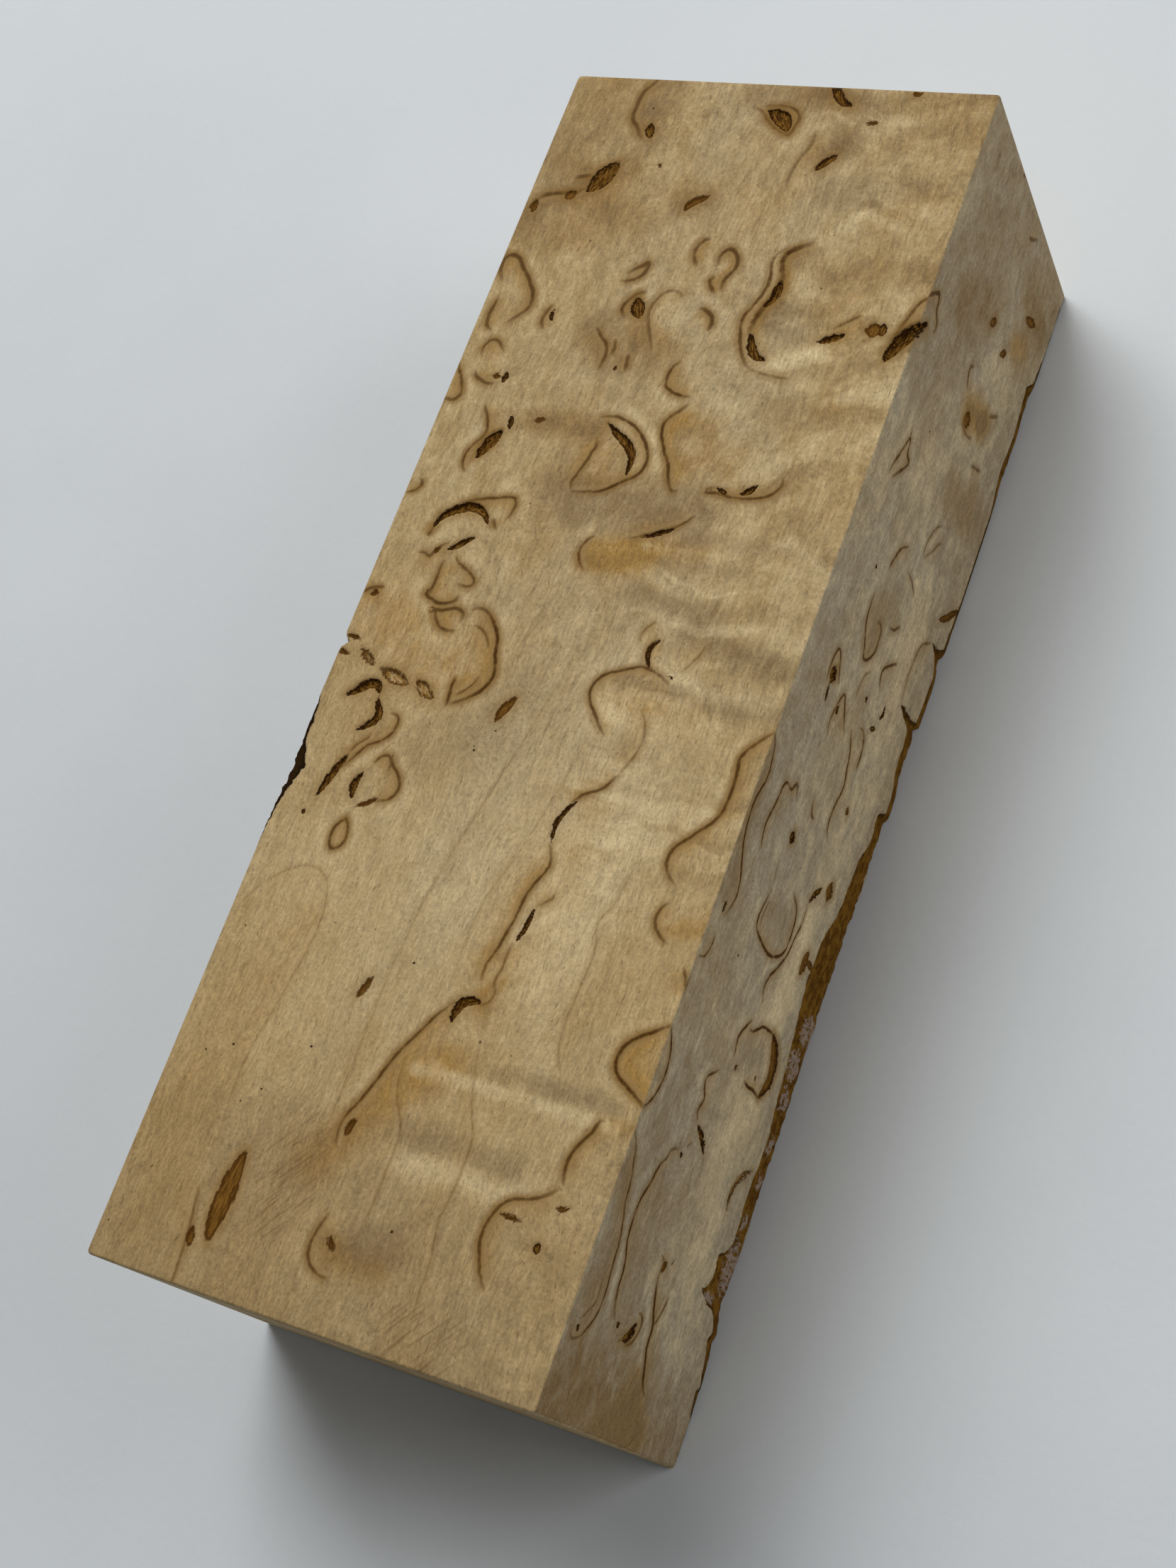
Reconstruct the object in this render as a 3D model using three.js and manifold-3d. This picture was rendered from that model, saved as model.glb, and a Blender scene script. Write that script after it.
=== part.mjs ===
// Masur birch block: one sawn piece of figured birch, with a strip of the trunk's bark left
// along the lower edge of one long face. Millimetres. The origin is the middle of the
// underside, +X runs along the block and the grain, +Y is the clean long face, +Z is up.
import * as THREE from 'three';
import { mergeVertices } from 'three/addons/utils/BufferGeometryUtils.js';
import Module from 'manifold-3d';

const LENGTH = 125;
const WIDTH = 45;
const HEIGHT = 32;
const EASE = 0.25; // rounding that sanding leaves on the long edges
const CORNER = 0.5; // radius of the upright edges
const WORN_CORNER = 1.0; // the near corner on the clean side is rounder
const ARC_STEPS = 3;
const EASE_STEPS = 2;

const FRONT = -WIDTH / 2; // the long face that carries the bark
const BACK = WIDTH / 2;
const OVERCUT = 2; // how far a cutter reaches outside the block

// Places on the front face are measured this much short at the middle of its length.
const FRONT_SLIP = 1.0;

// Upper edge of the bark strip on the front face: along the block, height over the underside.
const BARK_EDGE = [
  [-64, 0.3], [-58.2, 0.4], [-57, 0.8], [-55, 0.6], [-53, 1.2], [-51, 2.3], [-49.7, 2.0],
  [-48.6, 3.4], [-47.8, 6.6], [-47.4, 8.4], [-46.9, 6.2], [-45.3, 5.7], [-44.2, 6.2],
  [-43.2, 4.4], [-41, 3.7], [-38, 4.2], [-34.5, 3.8], [-32.5, 3.7], [-29, 4.7], [-24, 5.7],
  [-20.5, 6.6], [-17.5, 7.2], [-14.5, 6.7], [-11.5, 5.2], [-7, 4.6], [-4.5, 4.1], [-2.5, 3.0],
  [-0.3, 3.6], [0.9, 1.7], [3.5, 1.9], [6, 3.0], [8.7, 3.1], [9.6, 5.3], [10.3, 7.2],
  [10.7, 4.0], [11.4, 1.5], [16, 1.3], [17.8, 3.0], [18.4, 4.5], [18.9, 1.6], [24, 0.7],
  [37, 0.7], [39.5, 1.7], [44, 1.2], [49.5, 2.0], [51, 0.8], [60, 0.4], [64, 1.1],
];
// The bark in section: depth behind the sawn face, share of the strip's height. It lies
// almost level with the face, then rolls under the block.
const BARK_SECTION = [
  [-OVERCUT, 1.0], [0.1, 1.0], [0.16, 0.78], [0.2, 0.54], [0.2, 0.32], [0.3, 0.14],
  [0.9, 0.03], [2.4, -0.12], [-OVERCUT, -0.7],
];
const BARK_STEPS = 150;
const BARK_ROUGHNESS = 0.16;
const BARK_ROLL = 0.9; // how much the hidden underside edge of the bark wanders

// The bark-filled notch in the upper edge of the back face: along the block, width on the
// top face, depth down the back face.
const NOTCH_WIDTH = [
  [-23.4, 0.05], [-20, 0.35], [-18, 0.7], [-16.6, 1.2], [-15.2, 1.55], [-14, 0.95],
  [-12, 0.5], [-10, 0.35], [-7.6, 0.05],
];
const NOTCH_DEPTH = [
  [-23.4, 0.3], [-20, 1.4], [-17, 3.1], [-15, 3.8], [-12.5, 2.6], [-10, 1.5], [-7.6, 0.3],
];
// The notch in section: share of its width in from the back face, share of its depth down.
// Bark fills its inner half nearly to the top, and breaks off steeply in the outer half.
const NOTCH_SECTION = [
  [-1.2, -0.4], [1.06, -0.4], [0.98, 0.04], [0.7, 0.1], [0.47, 0.2], [0.37, 0.5],
  [0.12, 0.94], [-1.2, 1.0],
];
const NOTCH_STEPS = 36;

// Open bark pockets: the line each one follows, its greatest width, and its depth where it
// isn't the usual one. On the top face the points are along and across the block.
const POCKET_DEPTH = 0.45;
const TOP_POCKETS = [
  { line: [[-58.3, 11.4], [-56.4, 11.5], [-53.6, 11.4], [-50.1, 11.1]], width: 1.9, depth: 0.2 },
  { line: [[-34.8, -3.1], [-33.9, -3.1], [-32.9, -3.5], [-32.5, -4.4], [-32.5, -5.2]], width: 0.9 },
  { line: [[-35.0, 6.6], [-34.0, 6.2], [-32.6, 5.7]], width: 0.7, depth: 0.25 },
  { line: [[-26.7, -6.2], [-25.2, -6.6], [-23.4, -6.8]], width: 0.5 },
  { line: [[-17.5, -6.1], [-16.4, -5.8], [-15.2, -5.9], [-14.1, -6.4], [-13.2, -7.0]], width: 0.5 },
  { line: [[-17.5, 14.8], [-16.7, 15.1], [-15.7, 15.1], [-14.8, 14.7]], width: 0.8 },
  { line: [[-18.0, 18.5], [-16.2, 18.0], [-14.7, 17.5], [-13.4, 16.9]], width: 0.8 },
  { line: [[-11.0, 17.2], [-10.3, 16.2], [-9.3, 15.5], [-8.2, 16.0], [-7.4, 16.4]], width: 0.8 },
  { line: [[-7.2, 16.3], [-6.3, 16.9], [-6.4, 17.9], [-7.2, 18.8], [-7.9, 19.8]], width: 1.0 },
  { line: [[-5.7, 13.9], [-5.4, 14.9], [-5.1, 16.0], [-4.7, 17.1]], width: 1.2 },
  { line: [[-6.5, 10.8], [-6.2, 11.6], [-5.6, 12.4], [-5.2, 13.0]], width: 1.0 },
  { line: [[8.2, 15.4], [8.8, 14.5], [9.9, 13.1]], width: 0.7 },
  { line: [[10.2, 17.9], [11.6, 17.3], [12.7, 15.6], [12.9, 14.2], [11.3, 12.3]], width: 1.0 },
  { line: [[18.1, 16.4], [19.3, 15.9], [20.4, 15.3], [21.4, 14.8]], width: 1.3 },
  { line: [[21.5, 14.1], [22.3, 14.2], [23.0, 14.4]], width: 0.6 },
  { line: [[18.4, 0.3], [20.2, 0.4], [21.4, 1.2], [22.4, 2.6], [23.5, 4.1]], width: 0.9 },
  { line: [[17.9, -10.2], [18.1, -9.7], [18.4, -9.0]], width: 0.4 },
  { line: [[18.0, -11.4], [18.5, -12.3], [19.2, -12.8]], width: 0.6 },
  { line: [[12.4, -3.6], [12.9, -4.8], [13.8, -6.6]], width: 0.5 },
  { line: [[31.9, -9.1], [32.2, -8.0], [33.2, -7.2], [34.6, -6.7]], width: 0.8 },
  { line: [[37.4, -7.0], [38.9, -7.7], [40.6, -7.7]], width: 0.9 },
  { line: [[34.3, -13.4], [34.9, -14.8], [35.4, -15.8]], width: 0.8 },
  { line: [[33.1, -20.3], [34.6, -20.9], [36.1, -21.8], [37.6, -23.2]], width: 1.5, depth: 0.7 },
  { line: [[35.0, 5.1], [36.0, 5.7], [37.2, 6.2]], width: 1.4, depth: 0.3 },
  { line: [[48.7, 16.2], [50.0, 15.3], [52.3, 14.0]], width: 2.1, depth: 0.35 },
  { line: [[57.0, -2.6], [58.3, -1.8], [59.4, 0.1]], width: 1.5, depth: 0.35 },
  { line: [[60.3, -8.3], [61.1, -6.8], [63.4, -5.4]], width: 0.9, depth: 0.4 },
];
// On the front face the points are along the block and up from the underside.
const FRONT_POCKETS = [
  { line: [[-54.6, 20.6], [-54.0, 19.4], [-52.8, 18.7]], width: 1.0 },
  { line: [[-40.5, 7.9], [-39.0, 8.3], [-37.4, 7.4], [-36.0, 5.1]], width: 0.7 },
  { line: [[-37.8, 16.9], [-36.8, 18.4], [-36.0, 20.4]], width: 0.6 },
  { line: [[-30.2, 9.2], [-28.2, 8.3], [-26.4, 9.0], [-24.9, 10.6]], width: 1.6, depth: 0.25 },
  { line: [[-10.5, 21.3], [-9.3, 21.2]], width: 1.1 },
  { line: [[-11.2, 8.9], [-9.3, 8.9]], width: 1.7, depth: 0.35 },
  { line: [[3.8, 24.6], [5.4, 24.4]], width: 1.5 },
  { line: [[34.9, 32.9], [36.0, 31.7], [37.8, 30.3]], width: 1.0, depth: 0.6 },
];
// A chip torn out of the back edge, and the crack that runs on from it.
const CHIP = { line: [[-2.6, 24.0], [-2.75, 22.9], [-3.0, 21.3]], width: 1.7, depth: 1.3 };
const CHIP_CRACK = { line: [[-3.1, 21.4], [-3.6, 19.6], [-4.5, 18.1]], width: 0.5, depth: 0.4 };
const POCKET_SIDE_STEPS = 7;

const { Manifold, Mesh: SolidMesh } = await loadSolids();

async function loadSolids() {
  const wasm = await Module();
  wasm.setup();
  return wasm;
}

function solidOf(geometry) {
  geometry.deleteAttribute('normal');
  geometry.deleteAttribute('uv');
  const merged = mergeVertices(geometry, 1e-4);
  const vertProperties = new Float32Array(merged.attributes.position.array);
  const triVerts = new Uint32Array(merged.index.array);
  return new Manifold(new SolidMesh({ numProp: 3, vertProperties, triVerts }));
}

function geometryOf(solid) {
  const mesh = solid.getMesh();
  const geometry = new THREE.BufferGeometry();
  geometry.setAttribute('position', new THREE.BufferAttribute(mesh.vertProperties, 3));
  geometry.setIndex(new THREE.BufferAttribute(mesh.triVerts, 1));
  geometry.computeVertexNormals();
  return geometry;
}

// Height of a line of [place, height] points at one place, straight between its points.
function heightAt(points, place) {
  const next = points.findIndex((point) => point[0] > place);
  if (next < 0) return points[points.length - 1][1];
  if (next === 0) return points[0][1];
  const [x0, h0] = points[next - 1];
  const [x1, h1] = points[next];
  return h0 + ((h1 - h0) * (place - x0)) / (x1 - x0);
}

// Where a measured place on the front face really lies along the block.
function frontPlace(x) {
  return x + FRONT_SLIP * (1 - ((2 * x) / LENGTH) ** 2);
}

// An outline drawn as [a, b] points, run along the block from one place to another, with
// every point put where the rule place(a, b, x) says.
function sectionAlongBlock(section, from, to, steps, place) {
  const outline = new THREE.Shape(section.map(([a, b]) => new THREE.Vector2(a, b)));
  const geometry = new THREE.ExtrudeGeometry(outline, { depth: to - from, steps, bevelEnabled: false });
  const points = geometry.attributes.position;
  for (let i = 0; i < points.count; i += 1) {
    const x = from + points.getZ(i);
    const [y, z] = place(points.getX(i), points.getY(i), x);
    points.setXYZ(i, x, y, z);
  }
  return geometry;
}

// Ridges and cracks of the bark, from 0 to about 1, by a formula.
function barkRelief(x, share) {
  const ridges = Math.abs(Math.sin(1.9 * x + 5.3 * share + 1.4 * Math.sin(0.6 * x)));
  const plates = 0.5 + 0.5 * Math.sin(0.83 * x + 2.1 * Math.sin(0.37 * x + 3 * share));
  return 0.6 * ridges + 0.4 * plates;
}

function barkCutter() {
  const edge = BARK_EDGE.map(([x, height]) => [frontPlace(x), height]);
  const place = (depth, share, x) => {
    const onBark = depth > 0 && share < 1;
    const rough = onBark ? BARK_ROUGHNESS * (barkRelief(x, share) - 0.4) : 0;
    const roll = share < 0 && onBark ? BARK_ROLL * Math.sin(0.21 * x + 0.8 * Math.sin(0.13 * x)) : 0;
    return [FRONT + depth + rough + roll, share * heightAt(edge, x)];
  };
  const reach = LENGTH / 2 + OVERCUT / 2;
  return sectionAlongBlock(BARK_SECTION, -reach, reach, BARK_STEPS, place);
}

function notchCutter() {
  const place = (share, drop, x) => {
    const rough = share > 0 ? 1 + 0.12 * Math.sin(4.1 * x + 6 * drop) : 1;
    const width = share > 0 ? heightAt(NOTCH_WIDTH, x) : OVERCUT / 2;
    const depth = drop > 0 ? heightAt(NOTCH_DEPTH, x) : OVERCUT;
    return [BACK - share * width * rough, HEIGHT - drop * depth];
  };
  const from = NOTCH_WIDTH[0][0];
  const to = NOTCH_WIDTH[NOTCH_WIDTH.length - 1][0];
  return sectionAlongBlock(NOTCH_SECTION, from, to, NOTCH_STEPS, place);
}

// Outline of a pocket: its line widened to both sides, full in the middle, pointed at the ends.
function pocketOutline({ line, width }) {
  const path = new THREE.SplineCurve(line.map(([x, y]) => new THREE.Vector2(x, y)));
  const near = [];
  const far = [];
  for (let i = 0; i <= POCKET_SIDE_STEPS; i += 1) {
    const along = i / POCKET_SIDE_STEPS;
    const point = path.getPoint(along);
    const tangent = path.getTangent(along);
    const swell = 0.06 + 0.94 * Math.sqrt(Math.sin(Math.PI * along));
    const half = (width / 2) * Math.min(1, swell);
    near.push(new THREE.Vector2(point.x - tangent.y * half, point.y + tangent.x * half));
    far.unshift(new THREE.Vector2(point.x + tangent.y * half, point.y - tangent.x * half));
  }
  return new THREE.Shape(near.concat(far));
}

// A cutter that stands on the bottom of its pocket and reaches out of the face, along +Z.
function pocketCutter(pocket) {
  const depth = pocket.depth ?? POCKET_DEPTH;
  const geometry = new THREE.ExtrudeGeometry(pocketOutline(pocket), {
    depth: depth + OVERCUT,
    bevelEnabled: false,
  });
  return geometry.translate(0, 0, -depth);
}

function sawnBlock() {
  const halfLength = LENGTH / 2;
  const outline = new THREE.Shape();
  const corners = [
    [halfLength, FRONT, CORNER], [halfLength, BACK, CORNER],
    [-halfLength, BACK, WORN_CORNER], [-halfLength, FRONT, CORNER],
  ];
  corners.forEach(([x, y, radius], i) => {
    const turn = (i - 1) * (Math.PI / 2);
    const centreX = x - Math.sign(x) * radius;
    const centreY = y - Math.sign(y) * radius;
    outline.absarc(centreX, centreY, radius, turn, turn + Math.PI / 2, false);
  });
  const geometry = new THREE.ExtrudeGeometry(outline, {
    depth: HEIGHT - 2 * EASE,
    curveSegments: ARC_STEPS,
    bevelThickness: EASE,
    bevelSize: EASE,
    bevelOffset: -EASE,
    bevelSegments: EASE_STEPS,
  });
  return geometry.translate(0, 0, EASE);
}

function blockGeometry() {
  const topCutters = [...TOP_POCKETS, CHIP, CHIP_CRACK].map((pocket) => {
    return pocketCutter(pocket).translate(0, 0, HEIGHT);
  });
  const frontCutters = FRONT_POCKETS.map((pocket) => {
    const line = pocket.line.map(([x, z]) => [frontPlace(x), z]);
    return pocketCutter({ ...pocket, line }).rotateX(Math.PI / 2).translate(0, FRONT, 0);
  });
  let block = solidOf(sawnBlock());
  for (const cutter of [barkCutter(), notchCutter(), ...topCutters, ...frontCutters]) {
    block = block.subtract(solidOf(cutter));
  }
  return geometryOf(block);
}

const birch = new THREE.MeshStandardMaterial({ color: 0xc3a57a, roughness: 0.62, metalness: 0 });
const block = new THREE.Mesh(blockGeometry(), birch);
block.name = 'masur_birch_block';

const part = new THREE.Group();
part.add(block);

export default part;
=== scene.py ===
import math
import random

import bmesh
import bpy
import numpy as np
from mathutils import Matrix, Vector, noise


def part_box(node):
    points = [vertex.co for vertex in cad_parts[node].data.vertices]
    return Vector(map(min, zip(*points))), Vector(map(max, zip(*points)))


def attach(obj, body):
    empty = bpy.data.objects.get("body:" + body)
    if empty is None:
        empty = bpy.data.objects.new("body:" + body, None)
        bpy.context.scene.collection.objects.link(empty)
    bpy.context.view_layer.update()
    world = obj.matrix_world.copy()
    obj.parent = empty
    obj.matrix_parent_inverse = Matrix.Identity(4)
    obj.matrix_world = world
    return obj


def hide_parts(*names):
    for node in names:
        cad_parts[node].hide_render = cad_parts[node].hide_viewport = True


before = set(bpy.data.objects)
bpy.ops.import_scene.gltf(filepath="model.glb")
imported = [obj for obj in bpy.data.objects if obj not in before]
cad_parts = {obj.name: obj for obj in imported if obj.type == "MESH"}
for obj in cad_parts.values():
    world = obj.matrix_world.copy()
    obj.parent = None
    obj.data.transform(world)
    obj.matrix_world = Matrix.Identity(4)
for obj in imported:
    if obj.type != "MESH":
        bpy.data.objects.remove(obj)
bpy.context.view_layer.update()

NODE = "masur_birch_block"
MM = 0.001
low_corner, high_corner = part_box(NODE)

# The block, in millimetres, from the frame.
HALF_LENGTH = high_corner[0] / MM
FRONT = low_corner[1] / MM
BACK = high_corner[1] / MM
TOP = high_corner[2] / MM
EASE = 0.25  # rounding of the long edges and the ends' rims
CORNER = 0.4  # rounding of the upright edges
UNDERCUT = 0.5  # the near end was sawn a little out of square, so its foot is set in
UNDERCUT_REACH = 18.0  # and the wood behind it follows over this length

# The numbers of four of its six faces.
TOP_FACE = 0
FRONT_FACE = 1
UNDERSIDE = 3
NEAR_END = 4

# Mesh spacing, in millimetres.
WIDE_SPACING = 1.3
VEIN_SPACING = 0.45
FLECK_SPACING = 0.24
BARK_SPACING = 0.34
REFINE_ROUNDS = 9
SPLIT_PAST = 1.45  # an edge is split where it is this many times as long as the spacing there
SAME_PLACE = 0.001  # points closer than this become one

VEIN_REACH = 0.9  # a vein's line and its soft shade lie within this distance
VEIN_MEMORY = 2.2  # its distance is known this far out, and it tints the wood no further
VEIN_LAYERS = 3
HOLLOW_REACH = 1.2  # the wood is golden about this far inside a vein's bend
STAIN_REACH = 0.5  # and greyed about this far outside it
RIM_PLACE = 1.1  # with a pale rim this far out
RIM_REACH = 0.4
SPECK_WIDTH = 0.26
SPECK_DEPTH = 0.08
MARK_MEMORY = 1.5  # distances from flecks and bark are known this far out
COARSENING = 0.5  # how fast the mesh may widen away from a mark
FRONT_SLIP = 1.0  # the front face's marks were read this much short at its middle
FRONT_GOLD = 0.35  # how strongly its veins warm the wood beside them, against 1 on the top


def front_place(x):
    return x + FRONT_SLIP * (1 - (x / HALF_LENGTH) ** 2)


# Veins on the top face: width, strength, and points along and across the block.
TOP_VEINS = [
    (0.28, 0.75, [(-58, -1), (-57.9, 0.1), (-57.5, 1), (-56.8, 1.6), (-55.8, 1.8), (-54.6, 1.7),
        (-52.8, 1.2)]),
    (0.25, 0.9, [(-47.7, 2.9), (-46.8, 3.2), (-45.5, 3.3), (-44.5, 3), (-43, 2.3), (-41.5, 1.7),
        (-40, 1.2), (-38.5, 0.6), (-37.3, 0), (-36, -0.8), (-34.8, -1.4), (-33.7, -2.2), (-32.8, -2.8)]),
    (0.27, 0.9, [(-55, -14.8), (-53.8, -13.9), (-52.5, -13.3), (-51.5, -12.9), (-50.3, -12.8),
        (-49, -13.1), (-48, -13.6), (-47.3, -14.4), (-47.1, -15.3), (-46.7, -16.4), (-46, -17.4),
        (-45.3, -18.1)]),
    (0.27, 0.9, [(-45.2, -18.2), (-44.3, -17.9), (-43.3, -17.8), (-42.2, -18), (-41.2, -18.5),
        (-40.2, -19.1), (-39.4, -19.2), (-39.1, -19.8)]),
    (0.27, 1, [(-37.5, -22.8), (-36.7, -21.6), (-36, -20.4), (-35.4, -19.4), (-34.6, -18.9),
        (-33.6, -18.9), (-32.6, -19.3), (-31.8, -20.2), (-31.2, -21.1), (-30, -22.8)]),
    (0.24, 0.85, [(-30.9, -4.5), (-29.8, -4.3), (-28.6, -4.5), (-27.3, -4.9), (-26, -5.1), (-24.5, -5.4),
        (-23, -5.5), (-22, -5.7), (-21, -6.1), (-20.2, -6.5), (-19.3, -6.7), (-18.4, -6.4),
        (-17.4, -5.9)]),
    (0.24, 0.8, [(-13.6, -6.5), (-12.7, -7.2), (-12.2, -8), (-11.8, -8.8), (-11, -9.4), (-10.2, -9.8)]),
    (0.2, 0.4, [(-10.2, -9.8), (-9, -10.4), (-7.8, -10.8), (-6.4, -10.9), (-5, -10.5), (-3.8, -9.6)]),
    (0.22, 0.5, [(-31.6, -5.9), (-30.3, -5.7), (-29.2, -5.9), (-28, -5.9), (-26.8, -6.1)]),
    (0.25, 0.85, [(-7, -7.4), (-6.4, -6.6), (-5.4, -5.8), (-4.6, -5.1), (-4, -4.6), (-3.2, -4.3),
        (-2.3, -4.4), (-1.6, -4.8), (-1.2, -5.3), (-0.7, -6.4), (-0.2, -7.5), (0, -8.5), (-0.2, -9.5),
        (-0.6, -10.5), (-1.3, -11.6)]),
    (0.24, 0.75, [(-23.8, -19.6), (-23.2, -18.7), (-22.4, -18), (-21.6, -17.8), (-20.8, -18.1),
        (-20.2, -18.6)]),
    (0.26, 0.95, [(-18.8, -18.7), (-18.2, -17.9), (-17.4, -17.2), (-16.5, -17), (-15.6, -17.2),
        (-14.9, -17.8), (-14, -18.6), (-13, -19.5), (-12, -20.2), (-11, -20.4), (-9.5, -20.5),
        (-8, -20.4), (-6.7, -20.2), (-5.8, -20.5), (-5, -21.2), (-4.3, -21.8), (-3.3, -22.9)]),
    (0.22, 0.7, [(-27.4, -22.7), (-26.2, -22.2), (-25.4, -21.8)]),
    (0.24, 0.85, [(-15, 17.2), (-14, 16.5), (-13, 15.9), (-12.3, 15.4), (-11.9, 14.8), (-11.5, 14.1),
        (-10.9, 13.5), (-10, 13.2), (-9.2, 13.3), (-8.8, 13.7), (-8.8, 14.4)]),
    (0.2, 0.6, [(-13.3, 16.9), (-12.4, 16.5), (-11.8, 15.8), (-11.1, 15.4)]),
    (0.26, 0.85, [(-17.3, 12.5), (-17.1, 11.7), (-16.7, 10.9), (-15.9, 10.5), (-15, 10.7), (-14.3, 11.2),
        (-13.8, 11.8), (-13, 12.4), (-12.4, 12.3)]),
    (0.24, 0.75, [(-14.4, 12.3), (-13.7, 12.2), (-13, 12.5), (-12.8, 13.1), (-13.3, 13.7), (-13.9, 14)]),
    (0.3, 1, [(-6.9, 9.1), (-6.5, 8.3), (-6, 7.4), (-5.3, 6.5), (-4.5, 5.9), (-3.4, 5.6), (-2.4, 5.8),
        (-1.2, 6.3), (-0.2, 6.5), (0.9, 7), (1.9, 7.8), (2.6, 8.6), (2.9, 9.4), (2.6, 10.5)]),
    (0.28, 0.9, [(-7.2, 9.1), (-6, 9.2), (-5, 9.3), (-4, 9.2)]),
    (0.22, 0.6, [(-5.9, 8.6), (-5.2, 7.8), (-4.4, 7.2), (-3.6, 7)]),
    (0.22, 0.55, [(-0.9, 7.1), (0.1, 7.7), (0.8, 8.4), (1.1, 9.4)]),
    (0.3, 0.85, [(0.3, 11), (0.15, 12), (0.4, 13), (0.9, 13.5), (1.5, 13.9), (2, 14.1), (2, 13.4),
        (2.3, 12.7), (2.5, 12), (2.3, 11.3), (1.8, 11), (1.1, 11.1)]),
    (0.3, 0.9, [(4, 12.3), (3.3, 12.4), (2.8, 13.2), (2.7, 14.2), (3, 15), (3.5, 15.9), (3.9, 15.4),
        (4.8, 15.3), (6, 15.35), (7.2, 15.2)]),
    (0.26, 0.75, [(7.7, 14.3), (7, 13.6), (6.6, 12.8), (6, 11.8), (5.4, 11.2), (4.9, 11.5), (4.8, 12.2),
        (5, 13)]),
    (0.26, 0.8, [(7.5, 18.3), (7.5, 17.6), (7.2, 17), (7.7, 16.7), (8.4, 16.2), (9, 15.4)]),
    (0.26, 0.85, [(12.7, 16), (13.3, 15.4), (13.7, 14.5), (14, 13.3), (14.2, 12.3), (14.5, 11.2),
        (14.4, 10.5), (13.7, 10.2), (12.8, 10.3), (12.1, 10.6)]),
    (0.3, 0.7, [(12.1, 11.9), (11.4, 11.6), (11, 11.2)]),
    (0.3, 0.8, [(9.2, 18), (10, 17.9), (10.8, 17.8)]),
    (0.26, 0.85, [(16.3, 16.8), (16.8, 17.3), (17.6, 17.6), (18.5, 17.6), (19.4, 17.2), (20, 16.7),
        (20.7, 16.4), (21.6, 16.5), (22.5, 16.9), (23.3, 17.4), (23.9, 17.8)]),
    (0.26, 0.8, [(13.4, 22.4), (13.7, 21.5), (14.2, 21), (14.7, 20.9), (15, 21.4)]),
    (0.3, 0.8, [(24.2, 22.9), (23.9, 22), (23.9, 21.3), (24.4, 20.9), (25.1, 20.9), (26, 21.3),
        (27, 21.9), (28.4, 22.7)]),
    (0.3, 0.75, [(26.2, 17.6), (26.1, 18.4), (26.4, 19.3), (26.8, 20), (27.4, 20.2)]),
    (0.3, 0.7, [(28.9, 20.2), (29.8, 20.5), (30.6, 20.2), (31, 19.6), (30.8, 19), (30.2, 18.4),
        (29.6, 17.9)]),
    (0.28, 0.9, [(16, 5.2), (16, 4.3), (16.2, 3.2), (16.4, 2.2), (17, 1.2), (17.7, 0.3), (18.3, -0.6),
        (19, -1.1), (19.8, -1.3), (20.8, -1.1), (21.8, -0.5), (22.7, 0.3), (23.4, 1.2), (23.9, 2.2),
        (24.2, 3.2), (24.2, 4.2), (24, 5.1), (23.5, 5.2)]),
    (0.28, 0.75, [(16.1, 5.2), (16.8, 5.5), (17.5, 5.3), (18.5, 5), (19.5, 4.7), (20.3, 4.6), (21, 4.3),
        (21.7, 4.7)]),
    (0.26, 0.75, [(8.3, 0.8), (9, 1.5), (9.8, 1.9), (10.6, 1.9), (11.3, 1.6), (11.9, 1)]),
    (0.24, 0.75, [(12.1, -2.5), (12.6, -3.7), (13.1, -5), (13.8, -6.4), (14.5, -7.3), (15.4, -8)]),
    (0.24, 0.7, [(-0.2, -9.6), (0.2, -8.9), (0.9, -8.4), (1.7, -8.2), (2.4, -8.5), (3, -9.2)]),
    (0.2, 0.5, [(2.2, -7.3), (3, -7.1), (3.8, -7.4), (4.5, -8.1)]),
    (0.2, 0.35, [(0, -12), (1, -12.7), (2.2, -13.3), (3.4, -13.6)]),
    (0.28, 0.9, [(17.6, -5.4), (17.3, -5), (17.8, -4.4), (18.8, -3.9), (20, -3.5), (21, -2.8), (22, -2.2),
        (23, -1.7), (24, -1.5), (24.9, -1.9), (25.6, -2.6), (26.6, -3.4)]),
    (0.28, 0.85, [(27.2, -3.2), (27.2, -2.2), (27.5, -1.1), (28, -0.3), (28.7, -0.1), (29.5, -0.1),
        (30.2, -0.3), (30.9, -0.9)]),
    (0.26, 0.85, [(18.5, -9.1), (18, -8.1), (17.7, -8.2), (17.8, -9.2), (17.6, -10.4), (17.6, -11.8),
        (17.8, -13), (18.2, -14.2), (18.8, -14.8), (19.6, -15.1), (20.2, -14.9)]),
    (0.34, 0.75, [(31.9, 20.3), (32.5, 21.1), (33.5, 21.3), (34.8, 21.2), (36.1, 21)]),
    (0.36, 0.85, [(37.6, 21.4), (38.5, 22), (39.4, 22.2), (40.3, 22.1), (40.7, 21.4), (40.3, 20.5),
        (39.4, 19.8), (38.6, 19), (37.6, 18.2), (36.8, 17.6), (36, 17.3), (35, 17.3), (34.2, 17.8),
        (33.5, 18.5), (32.9, 19.2)]),
    (0.32, 0.7, [(32.6, 14.8), (33.5, 15.3), (34.5, 15.2), (35.5, 14.8)]),
    (0.42, 0.8, [(47.2, 21.3), (47.9, 20.5), (48.1, 19.5), (48.3, 18.4), (48.3, 17.4), (49, 16.4)]),
    (0.4, 0.75, [(50.2, 18), (50.4, 17.1), (50.6, 16.2)]),
    (0.4, 0.75, [(54.9, 12.2), (55.8, 13), (56.6, 13.5), (57.2, 14.2), (58, 14.5), (59.3, 14.5),
        (60.5, 14.4), (61.5, 13.9), (62.9, 12.8)]),
    (0.34, 0.75, [(38.8, 8.7), (38.9, 7.9), (39.2, 7.1), (39.8, 6.5), (40.6, 6.3), (41.2, 6.5),
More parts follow.
